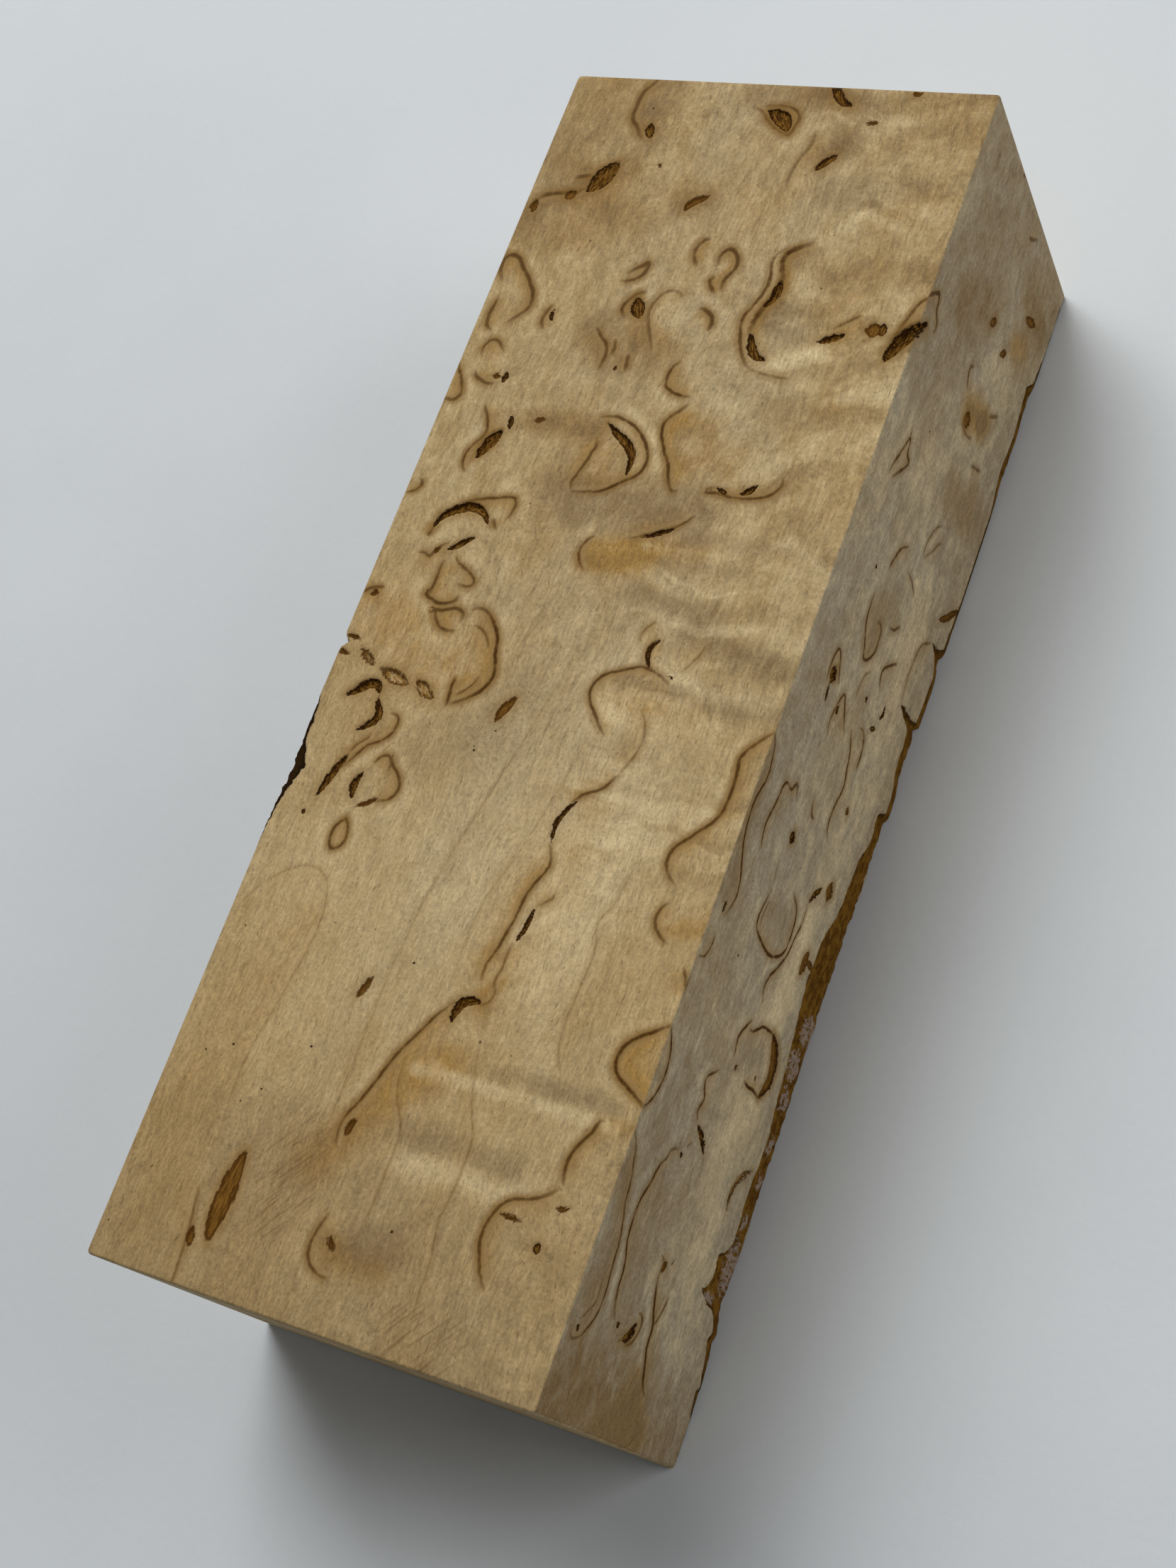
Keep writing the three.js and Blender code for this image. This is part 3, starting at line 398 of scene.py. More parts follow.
# Soft brush strokes of tone, partly the wood's own, partly painted sheen and shade: warmth, grey, light,
# width, points.
TOP_STROKES = [
    # Painted sheen, this stroke and the next three: pale and dark bands across the grain, where the flame
    # figure catches and loses the light.
    (0, -0.1, 0.65, 0.7, [(-39.4, -1.5), (-39.3, -8), (-39.4, -15), (-39.6, -21)]),
    (0, 0.45, -0.35, 1.1, [(-38.2, -9), (-38, -14), (-37.9, -20)]),
    (0, 0, 0.45, 1.6, [(-46.9, -3), (-47, -9), (-47.4, -15)]),
    (0, 0.4, -0.4, 1.6, [(-44.8, -3), (-44.6, -8), (-45.2, -13)]),
    (0.9, 0, -0.25, 1.6, [(-55.6, -0.5), (-56.3, -2.5), (-56, -5)]),
    (0.3, 0.5, -0.35, 2, [(-54.4, -2.5), (-54, -5.5)]),
    (0.8, 0, -0.1, 2.6, [(-49, 4.5), (-45, 1.5), (-41, -1), (-38.5, -4)]),
    (0.5, 0, 0, 2.2, [(-35.5, -21.8), (-34.2, -20.6)]),
    (0.7, 0, -0.2, 1, [(-39.5, -20.6), (-39.4, -22.3)]),
    (0.7, 0, -0.1, 1.4, [(-22.2, -20.6), (-21.6, -22.4)]),
    (0.4, 0, 0.2, 3, [(-29, -7.5), (-24, -8.5), (-19, -8)]),
    (0.6, 0, -0.1, 1.4, [(-33, -5.4), (-30.5, -5.2), (-28, -5.6)]),
    # Painted sheen, this stroke and the next twelve: pale and dark bands across the grain of the flame
    # figure, some also warm with stain.
    (0, 0, 0.55, 1.3, [(-4.2, -5.5), (-5.4, -8)]),
    (0.3, 0, 0.3, 2.4, [(-3.3, -7), (-3.8, -11), (-4.6, -16)]),
    (0, 0.5, -0.45, 1.3, [(-1.4, -7), (-1.9, -12), (-2.2, -18), (-2, -22)]),
    (0, 0, 0.5, 1, [(-0.5, -12), (-1.2, -16), (-1.6, -21)]),
    (0, 0.5, -0.5, 1.8, [(3.9, -12), (2.9, -17), (1.9, -22)]),
    (0, 0, 0.45, 1.2, [(4.8, -14), (4.5, -18), (4.4, -22)]),
    (0, 0.4, -0.45, 1.6, [(7.2, -4.5), (6.3, -8), (5.8, -14)]),
    (0, 0, 0.3, 1.3, [(8.6, -4), (8.2, -9), (8.2, -13.5)]),
    (0, 0.4, -0.4, 1.3, [(10, -7), (9.9, -11), (10.6, -15)]),
    (1, 0, -0.15, 1.8, [(9.6, 0.8), (9.7, -1.5), (10.1, -4.4)]),
    (0.4, 0, 0.3, 1, [(11.2, 0.8), (11.3, -3), (11.6, -7), (11.6, -12)]),
    (0, 0.4, -0.3, 1.2, [(12.8, -8), (13.1, -13), (13.2, -19)]),
    (0.2, 0.6, -0.45, 3.4, [(15.2, -8), (15.4, -3), (15.4, 3), (16.2, 6.5)]),
    (0, 0, 0.6, 1.6, [(19.6, -0.7), (22.2, 0.2), (23.6, 2.4)]),
    (0.6, 0.3, -0.4, 1.8, [(22.8, 12), (22.6, 8), (22.2, 5)]),
    (0.6, 0, 0.1, 2.2, [(18, 3.8), (20, 3.4)]),
    (0.6, 0, -0.2, 1.8, [(24.3, -3), (24.2, -6)]),
    # Painted sheen, this stroke and the next two: bands across the grain of the flame figure.
    (0.3, 0.3, -0.3, 1.6, [(26.5, -11), (27.2, -16), (27, -21)]),
    (0, 0, 0.3, 1.6, [(29.2, -12), (29.4, -18), (30, -22)]),
    (0, 0, 0.6, 1.1, [(31.3, -9.5), (32, -11.5), (33.4, -13.8)]),
    (0, 0, 0.65, 0.8, [(31.3, -8), (33, -6.7), (35.4, -6), (37.8, -6.6), (40.2, -7.1), (42.8, -6.7)]),
    (0.4, 0.2, -0.4, 3.4, [(31.8, 2), (31.4, 5), (33, 8)]),
    (0.6, 0, -0.2, 1.4, [(32.6, 4.2), (34.4, 5)]),
    (0, 0, 0.35, 3, [(34, 1.5), (36.5, 2.4)]),
    (0.5, 0.3, -0.5, 2.2, [(45.6, 21.9), (47.6, 20.2), (48.4, 17.4), (50.2, 15.4), (51.6, 12.8)]),
    (0.3, 0.4, -0.4, 2.2, [(55.6, 11.6), (57.4, 12.6)]),
    (0.3, 0.5, -0.35, 2.4, [(60, 11.6), (62.4, 11.4)]),
    (0.2, 0.4, -0.35, 2.4, [(60.8, 1.6), (60.6, -2), (60.2, -5)]),
    (0.6, 0.2, -0.45, 2.6, [(62.2, -4.6), (61, -7.4)]),
    (0.3, 0.4, -0.4, 2.4, [(54, -6.6), (57, -8.6), (60, -9.4)]),
    (0, 0, 0.45, 2, [(52.4, -5.6), (55.6, -6.6), (58.6, -6.6)]),
    # Painted sheen, this stroke and the next six: bands across the grain of the flame figure.
    (0, 0, 0.35, 1.2, [(45.4, -10.6), (47.4, -12.4), (48.2, -16)]),
    (0.3, 0.3, -0.35, 1.6, [(41.4, -13), (42.2, -18), (42.4, -22)]),
    (0, 0.3, -0.3, 2, [(50.4, -10), (51.2, -15), (52, -21)]),
    (0, 0, 0.3, 1.6, [(53.4, -11), (54, -16), (54.6, -21)]),
    (0.4, 0.3, -0.35, 1.8, [(56.4, -14), (57.6, -18), (58, -22)]),
    (0.4, 0.3, -0.3, 1.6, [(60.6, -12), (60.8, -17), (61.2, -22)]),
    (0, 0.5, -0.4, 1.6, [(35.4, -9), (35, -11.6)]),
    (0.4, 0.3, -0.4, 2.2, [(48, 4.8), (49.2, 3.2)]),
    (0.4, 0.2, -0.25, 6, [(56, 19), (60, 18)]),
    (0.2, 0.1, 0, 5, [(-60, 8), (-50, 7), (-40, 6)]),
    (0, 0.15, 0.05, 5, [(-59, -3.5), (-52, -5), (-45, -5)]),
    # Painted sheen: a broad pale band in the lower half, where the figure catches the light.
    (0, 0.1, 0.35, 4, [(-34, -11), (-24, -11), (-15, -12)]),
    (0.5, 0, 0.1, 5, [(-3, 8.5), (-1, 13), (1, 17)]),
    (0, 0.1, 0.1, 5, [(-24, 2), (-10, -1.5), (4, -2)]),
    (0, 0.2, -0.1, 4, [(-12, 11), (-9, 6), (-4, 3.5)]),
    (0.15, 0, -0.06, 5, [(-58, 18.5), (-46, 18.5), (-36, 17.5), (-30, 17)]),
    # Painted shade: this stroke and the next darken the top across its whole width at the near end, as if
    # a shadow fell there.
    (0, 0.1, -0.3, 7, [(-61, -20), (-60.5, -8), (-60.5, 4), (-60.5, 20)]),
    (0.1, 0.1, -0.22, 6, [(-51, -20), (-51, -8), (-50.5, 4), (-50, 20)]),
    (0, 0, 0.22, 8, [(-26, 16), (-20, 2), (-12, -14)]),
    (0, 0, 0.18, 7, [(-38, 10), (-28, 0), (-22, -12)]),
    # Painted sheen: a broad pale band where the figure catches the light.
    (0, 0, 0.3, 6, [(0, -10), (13, -12)]),
    (0.7, 0, -0.05, 1.8, [(-4.6, -6.4), (-3.4, -8.4), (-3.2, -10.6)]),
    (0.5, 0, -0.1, 2.4, [(10.4, -1), (11.6, -4), (11.4, -8)]),
    (0.6, 0, -0.1, 2.2, [(19.6, -5), (21.6, -6.4), (21, -9.4)]),
    (0.5, 0.2, -0.25, 2.4, [(52, 20.4), (48, 13.6)]),
    (0.4, 0.25, -0.25, 3, [(43, 20.6), (44.6, 14.6), (46, 10)]),
    (0.45, 0, -0.1, 2, [(-17.4, -8), (-15.4, -9.6), (-13.4, -8.4)]),
]
FRONT_STROKES = [
    (1.6, 0, 0, 2.2, [(-62, 19.5), (-61, 15), (-61.2, 11)]),
    (1.4, 0, 0, 1.4, [(-59.4, 17), (-59, 13)]),
    (1.2, 0, 0, 1, [(-57.2, 15.7), (-56.6, 15.2)]),
    (0, 0, -0.2, 6, [(-60, 27), (-40, 27.5), (-20, 28.5), (5, 29)]),
    # Painted shade: this stroke and the next darken the front's near end, as if a shadow fell there.
    (0, 0.1, -0.75, 7, [(-60.5, 30), (-60, 22), (-59.5, 16)]),
    (0, 0, -0.45, 6, [(-61.5, 14), (-61, 2)]),
    (0, 0, 0.3, 5, [(-50, 9), (-40, 12), (-30, 12), (-16, 11), (0, 9), (20, 12)]),
    (0, 0.1, -0.45, 9, [(40, 27), (50, 22), (60, 24), (60, 6)]),
    (0.2, 0.6, -0.3, 2.4, [(-53, 29.6), (-48, 29), (-43, 30.8)]),
    (0, 0.3, -0.25, 3.6, [(-52, 21.6), (-47, 22.4), (-42, 21.4)]),
    (0, 0.5, -0.3, 2.4, [(-28, 14.6), (-27.4, 12)]),
    (0, 0.3, -0.25, 2.8, [(-17, 19.6), (-16.6, 16.4)]),
    (0, 0.5, -0.35, 2, [(-17.6, 30.6), (-12, 31.8), (-7, 31.6)]),
    (0.9, 0, -0.2, 2.6, [(38.6, 14.8), (39.6, 11.4)]),
    (0.8, 0, -0.2, 2.2, [(50, 8.8), (51.2, 6.6)]),
    (0.7, 0.2, -0.2, 1.8, [(39.4, 10.2), (40.4, 9.6)]),
    (0.3, 0.4, -0.35, 3, [(30.6, 12), (31.4, 8), (32.4, 3)]),
    (0, 0.2, 0.35, 3, [(44.6, 14), (45.2, 8)]),
    (0.3, 0.4, -0.3, 2.6, [(55.6, 9), (55.4, 4)]),
    (0, 0.2, 0.3, 3, [(28, 20), (31, 17)]),
    (0.2, 0.4, -0.3, 3, [(44, 24), (46, 20), (48.5, 16.5)]),
    (0, 0.1, 0.4, 3.6, [(-35, 13), (-33, 9)]),
    (0, 0.1, 0.4, 3.2, [(-22, 11.6), (-15, 10.6)]),
    (0, 0.1, 0.3, 3, [(-46, 11), (-43, 9)]),
    (0.3, 0.4, -0.35, 3, [(12, 19.6), (15, 17.4)]),
    (0, 0.2, 0.35, 2.6, [(14, 10.6), (18, 9.4)]),
]

# Upper edge of the bark on the front face: points along the block and up from the table.
BARK_EDGE = [
    (-64, 0.1), (-58.2, 0.2), (-57, 0.8), (-55.5, 1), (-55, 0.4), (-54, 1), (-53, 1.2), (-51.5, 1.9),
    (-51, 2.4), (-50.3, 1.6), (-49.7, 2), (-48.9, 2.6), (-48.5, 3.5), (-48.4, 5), (-47.9, 6), (-47.6, 7),
    (-47.45, 8.4), (-47.2, 6.5), (-46.5, 6), (-45.3, 5.7), (-44.6, 6.2), (-43.9, 6.1), (-43.7, 5.2),
    (-43.2, 4.4), (-42.5, 3.8), (-41, 3.7), (-39.5, 4), (-38, 4.2), (-36.5, 4), (-34.5, 3.8),
    (-32.5, 3.7), (-31, 4.2), (-29, 4.7), (-26, 5.2), (-24, 5.7), (-22, 6.2), (-20.5, 6.6), (-19.5, 6.7),
    (-18.3, 7.3), (-17.3, 6.9), (-14.5, 6.7), (-13.5, 6.4), (-12.5, 5.8), (-11.5, 5.2), (-10.5, 5),
    (-9, 4.7), (-7, 4.6), (-5.5, 4.5), (-4.5, 4.1), (-3.5, 3.3), (-2.5, 3), (-1.8, 3), (-1, 3.5),
    (-0.3, 3.6), (0.3, 3), (0.9, 1.7), (2, 1.6), (3.5, 1.9), (4.5, 2.6), (6, 3), (7.5, 2.9), (8.7, 3.1),
    (9.4, 3.8), (9.6, 5.3), (10, 6.5), (10.35, 7.2), (10.5, 5.5), (10.4, 3), (10.7, 1.6), (12, 1.5),
    (14, 1.4), (16, 1.3), (17, 2), (17.8, 3), (18.3, 4.5), (18.5, 3), (18.6, 2), (19.2, 1), (25, 0.6),
    (35, 0.6), (38.3, 1.4), (39.5, 1.7), (44, 1.2), (49.5, 2.1), (50.8, 0.8), (55, 0.3), (64, 0.2),
]
# Where grey and pinkish outer bark still lies over the brown: place, height, half length, half height.
BARK_FLAKES = [
    (-44.4, 2.2, 3.4, 2), (-47.6, 4.6, 0.7, 1.6), (-40.2, 2.3, 1, 0.8), (-36.4, 1.9, 1.2, 0.8),
    (-33, 2.2, 1.4, 0.9), (-28.6, 2.6, 1.4, 1.5), (-25.4, 3, 2, 2), (-22, 2.6, 2, 2),
]
BARK_STEP = 0.1  # the bark starts this far behind the sawn face
BARK_SINK = 0.32  # and hollows up to this far behind it
BARK_RIDGES = 0.3  # height of its plates and furrows
BARK_CURL = 0.45  # how far its lower edge curls away
BARK_LIFT = 0.12  # its part under the block lies up to this far above the table
BARK_ROLL = 2.0  # how far under the block the bark runs

# The bark-filled notch in the upper edge of the back face: place, width on top, depth down.
NOTCH = [
    (-24, 0, 0), (-22.5, 0.15, 0.5), (-20, 0.35, 1.4), (-18.6, 0.6, 2), (-17.6, 0.85, 2.7),
    (-16.6, 1.2, 3.2), (-15.3, 1.6, 3.8), (-14.5, 1.25, 3.4), (-13.8, 0.9, 3), (-12.6, 0.5, 2.6),
    (-11.2, 0.6, 2.1), (-10, 0.4, 1.5), (-8.6, 0.2, 0.7), (-7, 0, 0),
]
# The notch in section, as shares of that width and depth, from the wood to its lowest point.
NOTCH_SECTION = [
    (1, 0), (0.97, 0.02), (0.7, 0.03), (0.45, 0.04), (0.14, 0.08), (0.12, 0.5), (0.06, 0.94), (0, 1),
]
NOTCH_KNEE = (0.14, 0.08)  # where the top face's part of the section meets the back face's
NOTCH_RAGGED = 0.16

# The small chip in the same edge.
CHIP_PLACE = -2.6
CHIP_HALF_WIDTH = 0.85
CHIP_DEEP = 0.9

# The flat sheet on which the finish is baked, in millimetres of the block.
SHEET = 176.0
SHEET_MARGIN = 1.0


# Curves and distances on a face.

def smooth_line(points, closed=False):
    """A curve through the points, sampled about three times a millimetre."""
    points = np.array(points, dtype=float)
    if closed:
        hull = np.vstack([points[-1:], points, points[:2]])
    else:
        hull = np.vstack([2 * points[:1] - points[1:2], points, 2 * points[-1:] - points[-2:-1]])
    pieces = []
    for before, start, end, after in zip(hull, hull[1:], hull[2:], hull[3:]):
        count = max(2, int(np.hypot(*(end - start)) * 3))
        t = np.linspace(0, 1, count, endpoint=False)[:, None]
        bend = (2 * before - 5 * start + 4 * end - after) * t ** 2
        turn = (3 * start - before - 3 * end + after) * t ** 3
        pieces.append(0.5 * (2 * start + (end - before) * t + bend + turn))
    pieces.append(points[:1] if closed else points[-1:])
    return np.vstack(pieces)


def beside(line, places):
    """Signed distance of each place from the line, and how far along the line it lies, 0 to 1."""
    closest = np.full(len(places), np.inf)
    side = np.ones(len(places))
    share = np.zeros(len(places))
    count = len(line) - 1
    for number in range(count):
        start = line[number]
        run = line[number + 1] - start
        offset = places - start
        along = np.clip((offset @ run) / max(run @ run, 1e-9), 0, 1)
        gap = offset - along[:, None] * run
        distance = np.hypot(gap[:, 0], gap[:, 1])
        nearer = distance < closest
        closest[nearer] = distance[nearer]
        turn = run[0] * offset[:, 1] - run[1] * offset[:, 0]
        side[nearer] = np.where(turn[nearer] < 0, -1.0, 1.0)
        share[nearer] = (number + along[nearer]) / count
    return closest * side, share


def swell(share):
    """Full in the middle of a stroke, pointed at its ends."""
    return 0.06 + 0.94 * np.sin(np.pi * np.clip(share, 0, 1)) ** 0.7


def fade(value, near, far):
    """One up to near, zero past far, smooth between."""
    t = np.clip((value - near) / (far - near), 0, 1)
    return 1 - t * t * (3 - 2 * t)


def rise(value, start, end):
    return 1 - fade(value, start, end)


def near_line(line, places, reach):
    """Numbers of the places that lie within reach of the line's box."""
    low = line.min(axis=0) - reach
    high = line.max(axis=0) + reach
    return np.flatnonzero(np.all((places > low) & (places < high), axis=1))


# Marks for the faces that the photograph doesn't show.

def arch_points(draw, centre, reach, tall, lean):
    points = []
    for number in range(7):
        angle = math.pi * (number / 6)
        u = math.cos(angle) * reach * (1 + 0.18 * draw.uniform(-1, 1))
        v = math.sin(angle) * tall * (1 + 0.18 * draw.uniform(-1, 1))
        points.append((centre[0] + u * math.cos(lean) - v * math.sin(lean),
                       centre[1] + u * math.sin(lean) + v * math.cos(lean)))
    return points


def wandering_points(draw, start, end, wander):
    points = []
    steps = 9
    height = 0.0
    for number in range(steps + 1):
        t = number / steps
        height = 0.6 * height + draw.uniform(-wander, wander)
        points.append((start[0] + (end[0] - start[0]) * t, start[1] + (end[1] - start[1]) * t + height))
    return points


def grown_marks(seed, half_width, low, high, count):
    """Veins, flecks and strokes like those in the photograph, drawn from one seed."""
    draw = random.Random(seed)
    veins = []
    flecks = []
    strokes = []
    for number in range(count):
        u = -half_width + 2 * half_width * (number + draw.uniform(0.1, 0.9)) / count
        v = draw.uniform(low + 2.5, high - 2.5)
        lean = draw.uniform(-0.5, 0.5) + (math.pi if draw.random() < 0.4 else 0)
        reach = draw.uniform(1.6, 4.2)
        tall = draw.uniform(1.2, 3.4)
        arch = arch_points(draw, (u, v), reach, tall, lean)
        veins.append((draw.uniform(0.22, 0.32), draw.uniform(0.5, 0.95), arch))
        if draw.random() < 0.5:
            width = draw.uniform(0.4, 1.3)
            kind = "dark" if draw.random() < 0.65 else "brown"
            begin = draw.randrange(1, 3)
            flecks.append((kind, width, 0.25 + 0.15 * width, arch[begin:begin + 3]))
        tone = draw.uniform(-0.45, 0.4)
        strokes.append((draw.uniform(0, 0.6), draw.uniform(0, 0.4), tone, draw.uniform(1.4, 3.4),
                        [(u - 1.5, v - 2.5), (u, v), (u + 1.0, v + 2.5)]))
    for number in range(3):
        v = low + (high - low) * (number + draw.uniform(0.3, 0.7)) / 3
        start = (-half_width + draw.uniform(2, 0.5 * half_width), v)
        end = (draw.uniform(0, half_width - 3), v + draw.uniform(-3, 3))
        veins.append((0.24, draw.uniform(0.5, 0.8), wandering_points(draw, start, end, 1.3)))
    return veins, flecks, strokes


def in_place(u):
    return u


class Face:
    """One sawn face: its two directions in the block, and the marks that lie on it."""

    def __init__(self, axes, out, veins, flecks, strokes, rings=(), specks=(), move=in_place, gold=1.0):
        self.axes = axes
        self.out = np.array(out, dtype=float)
        self.gold = gold
        self.veins = [self.vein(width, strength, points, False, move) for width, strength, points in veins]
        self.veins += [self.vein(width, strength, points, True, move) for width, strength, points in rings]
        self.flecks = [
            (kind, width, depth, smooth_line([(move(u), v) for u, v in points]))
            for kind, width, depth, points in flecks
        ]
        self.flecks += [
            ("dark", SPECK_WIDTH, SPECK_DEPTH, np.array([(move(u) - 0.1, v), (move(u) + 0.1, v + 0.04)]))
            for u, v in specks
        ]
        self.strokes = [
            (warm, grey, light, width, smooth_line([(move(u), v) for u, v in points]))
            for warm, grey, light, width, points in strokes
        ]
        self.share_out_layers()

    def vein(self, width, strength, points, closed, move):
        """A vein's line, run so that the hollow side of its bend is on its left."""
        line = smooth_line([(move(u), v) for u, v in points], closed)
        runs = np.diff(line, axis=0)
        bend = np.sum(runs[:-1, 0] * runs[1:, 1] - runs[:-1, 1] * runs[1:, 0])
        if bend < 0:
            line = line[::-1]
        return {"line": line, "width": width, "strength": strength, "closed": closed, "layer": 0}

    def share_out_layers(self):
        """Veins that come close to each other go to different layers, so none hides another."""
        for number, vein in enumerate(self.veins):
            crowded = set()
            for other in self.veins[:number]:
                close = near_line(vein["line"], other["line"], 2 * VEIN_REACH)
                if len(close) == 0:
                    continue
                gaps = vein["line"][:, None, :] - other["line"][None, close, :]
                if np.hypot(gaps[..., 0], gaps[..., 1]).min() < 2 * VEIN_REACH:
                    crowded.add(other["layer"])
            free = [layer for layer in range(VEIN_LAYERS) if layer not in crowded]
            vein["layer"] = free[0] if free else VEIN_LAYERS - 1


def make_faces():
    """Top, front, back, underside, near end and far end, in the order of face_numbers."""
    along = HALF_LENGTH - 1
    across = BACK - 1
    return [
        Face((0, 1), (0, 0, 1), TOP_VEINS, TOP_FLECKS, TOP_STROKES, TOP_RINGS, TOP_SPECKS),
        Face((0, 2), (0, -1, 0), FRONT_VEINS, FRONT_FLECKS, FRONT_STROKES, specks=FRONT_SPECKS,
             move=front_place, gold=FRONT_GOLD),
        Face((0, 2), (0, 1, 0), *grown_marks(11, along, 0, TOP, 30)),
        Face((0, 1), (0, 0, -1), *grown_marks(23, along, FRONT, BACK, 34)),
        Face((1, 2), (-1, 0, 0), *grown_marks(5, across, 0, TOP, 9)),
        Face((1, 2), (1, 0, 0), *grown_marks(8, across, 0, TOP, 9)),
    ]


faces = make_faces()
bark_line = np.array([(front_place(x), z) for x, z in BARK_EDGE])


def face_numbers(points):
    """Which of the faces each point lies on, by the plane it is nearest to."""
    gaps = np.stack([
        TOP - points[:, 2], points[:, 1] - FRONT, BACK - points[:, 1],
        points[:, 2], points[:, 0] + HALF_LENGTH, HALF_LENGTH - points[:, 0],
    ])
    return np.argmin(gaps, axis=0)


def bark_height(x):
    return np.interp(x, bark_line[:, 0], bark_line[:, 1])


def narrow_near(spacing, here, places, line, reach, fine):
    """Lowers the spacing to its fine value within reach of a line, and gradually around it."""
    close = near_line(line, places, reach + (WIDE_SPACING - fine) / COARSENING)
    gap = np.abs(beside(line, places[close])[0])
    wanted = fine + COARSENING * np.maximum(0, gap - reach)
    spacing[here[close]] = np.minimum(spacing[here[close]], wanted)


def wanted_spacing(points):
    """How fine the mesh has to be at each point."""
    spacing = np.full(len(points), WIDE_SPACING)
    numbers = face_numbers(points)
    for number, face in enumerate(faces):
        here = np.flatnonzero(numbers == number)
        places = points[here][:, face.axes]
        for vein in face.veins:
            narrow_near(spacing, here, places, vein["line"], VEIN_REACH, VEIN_SPACING)
        for _, width, _, line in face.flecks:
            narrow_near(spacing, here, places, line, 0.5 * width + 0.35, FLECK_SPACING)
    x, y, z = points.T
    on_bark = (y < FRONT + BARK_ROLL) & (z < bark_height(x) + 0.8)
    in_notch = (y > BACK - 2.4) & (z > TOP - 5) & (x > -24.5) & (x < -6.5)
    at_chip = (y > BACK - 1.8) & (z > TOP - 2.4) & (np.abs(x - CHIP_PLACE) < 1.8)
    spacing[on_bark | in_notch] = np.minimum(spacing[on_bark | in_notch], BARK_SPACING)
    spacing[at_chip] = FLECK_SPACING
    return spacing


# The mesh.

def bevel_edges(shape, edges, offset, segments):
    bmesh.ops.bevel(
        shape, geom=edges, offset=offset, offset_type="OFFSET", segments=segments,
        profile=0.5, affect="EDGES", material=-1,
    )


def sawn_block():
    """The block with eased edges, cut into squares, in millimetres."""
    shape = bmesh.new()
    bmesh.ops.create_cube(shape, size=1)
    bmesh.ops.scale(shape, vec=(2 * HALF_LENGTH, BACK - FRONT, TOP), verts=shape.verts)
    bmesh.ops.translate(shape, vec=(0, 0, TOP / 2), verts=shape.verts)
    upright = [edge for edge in shape.edges if abs(edge.verts[0].co.z - edge.verts[1].co.z) > 1]
    bevel_edges(shape, upright, CORNER, 3)
    rims = [edge for edge in shape.edges if abs(edge.verts[0].co.z - edge.verts[1].co.z) < 1e-4]
    bevel_edges(shape, rims, EASE, 3)
    for axis, reach in ((0, HALF_LENGTH), (1, BACK), (2, TOP / 2)):
        middle = TOP / 2 if axis == 2 else 0
        count = max(2, round(reach / WIDE_SPACING))
        for number in range(1, count):
            place = [0, 0, 0]
            place[axis] = middle - reach + 2 * reach * number / count
            normal = [0, 0, 0]
            normal[axis] = 1
            everything = shape.verts[:] + shape.edges[:] + shape.faces[:]
            bmesh.ops.bisect_plane(shape, geom=everything, plane_co=place, plane_no=normal)
    bmesh.ops.triangulate(shape, faces=shape.faces[:])
    return shape


def cut_to_triangles(shape):
    corners = [polygon for polygon in shape.faces if len(polygon.verts) > 3]
    bmesh.ops.triangulate(shape, faces=corners)


def refine(shape):
    """Splits edges until each is as short as the marks near it need."""
    for _ in range(REFINE_ROUNDS):
        edges = shape.edges[:]
        ends = np.array([(*edge.verts[0].co, *edge.verts[1].co) for edge in edges])
        lengths = np.linalg.norm(ends[:, 3:] - ends[:, :3], axis=1)
        candidates = np.flatnonzero(lengths > FLECK_SPACING)
        middles = 0.5 * (ends[candidates, 3:] + ends[candidates, :3])
        long_ones = candidates[lengths[candidates] > wanted_spacing(middles) * SPLIT_PAST]
        if len(long_ones) == 0:
            break
        bmesh.ops.subdivide_edges(shape, edges=[edges[number] for number in long_ones], cuts=1)
        cut_to_triangles(shape)
    bmesh.ops.remove_doubles(shape, verts=shape.verts[:], dist=SAME_PLACE)
    bmesh.ops.dissolve_degenerate(shape, edges=shape.edges[:], dist=SAME_PLACE)
    cut_to_triangles(shape)


def lay_marks(points):
    """Everything the material needs to know at each vertex, as vectors."""
    count = len(points)
    laid = {f"vein_{layer}": np.tile((VEIN_MEMORY, 0.0, 0.0), (count, 1)) for layer in range(VEIN_LAYERS)}
    laid["fleck"] = np.tile((MARK_MEMORY, 0.0, 0.0), (count, 1))
    laid["tone"] = np.zeros((count, 3))
    laid["grain"] = np.zeros((count, 3))
    laid["pit"] = np.zeros((count, 3))
    numbers = face_numbers(points)
    for number, face in enumerate(faces):
        here = np.flatnonzero(numbers == number)
        places = points[here][:, face.axes]
        for vein in face.veins:
            lay_vein(laid, vein, here, places, face.gold)
        for fleck in face.flecks:
            lay_fleck(laid, fleck, here, places)
        for stroke in face.strokes:
            lay_stroke(laid, stroke, here, places)
    laid["tone"] = np.clip(laid["tone"], -1, 1)
    return laid


def lay_vein(laid, vein, here, places, gold):
    close = near_line(vein["line"], places, VEIN_MEMORY)
    distance, share = beside(vein["line"], places[close])
    gap = np.abs(distance)
    taper = np.ones(len(close)) if vein["closed"] else np.minimum(1, 5 * np.minimum(share, 1 - share))
    strength = vein["strength"] * np.sqrt(taper)
    stored = laid[f"vein_{vein['layer']}"]
    target = here[close]
    nearer = gap < np.abs(stored[target, 0])
    stored[target[nearer], 0] = distance[nearer]
    stored[target[nearer], 1] = (strength * fade(gap, 0.7 * VEIN_REACH, VEIN_REACH))[nearer]
    stored[target[nearer], 2] = vein["width"]
    hollow = (distance > 0) * np.exp(-(gap / HOLLOW_REACH) ** 2) * strength
    outer = (distance < 0) * np.exp(-(gap / STAIN_REACH) ** 2) * strength
    rim = (distance < 0) * np.exp(-((gap - RIM_PLACE) / RIM_REACH) ** 2) * strength
    laid["tone"][target, 0] += 1.05 * gold * hollow
    laid["tone"][target, 1] += 0.45 * outer
    laid["tone"][target, 2] += 0.22 * rim - 0.18 * hollow


FLECK_TONES = {"dark": 1.0, "mixed": 0.75, "brown": 0.5, "pale": 0.0}


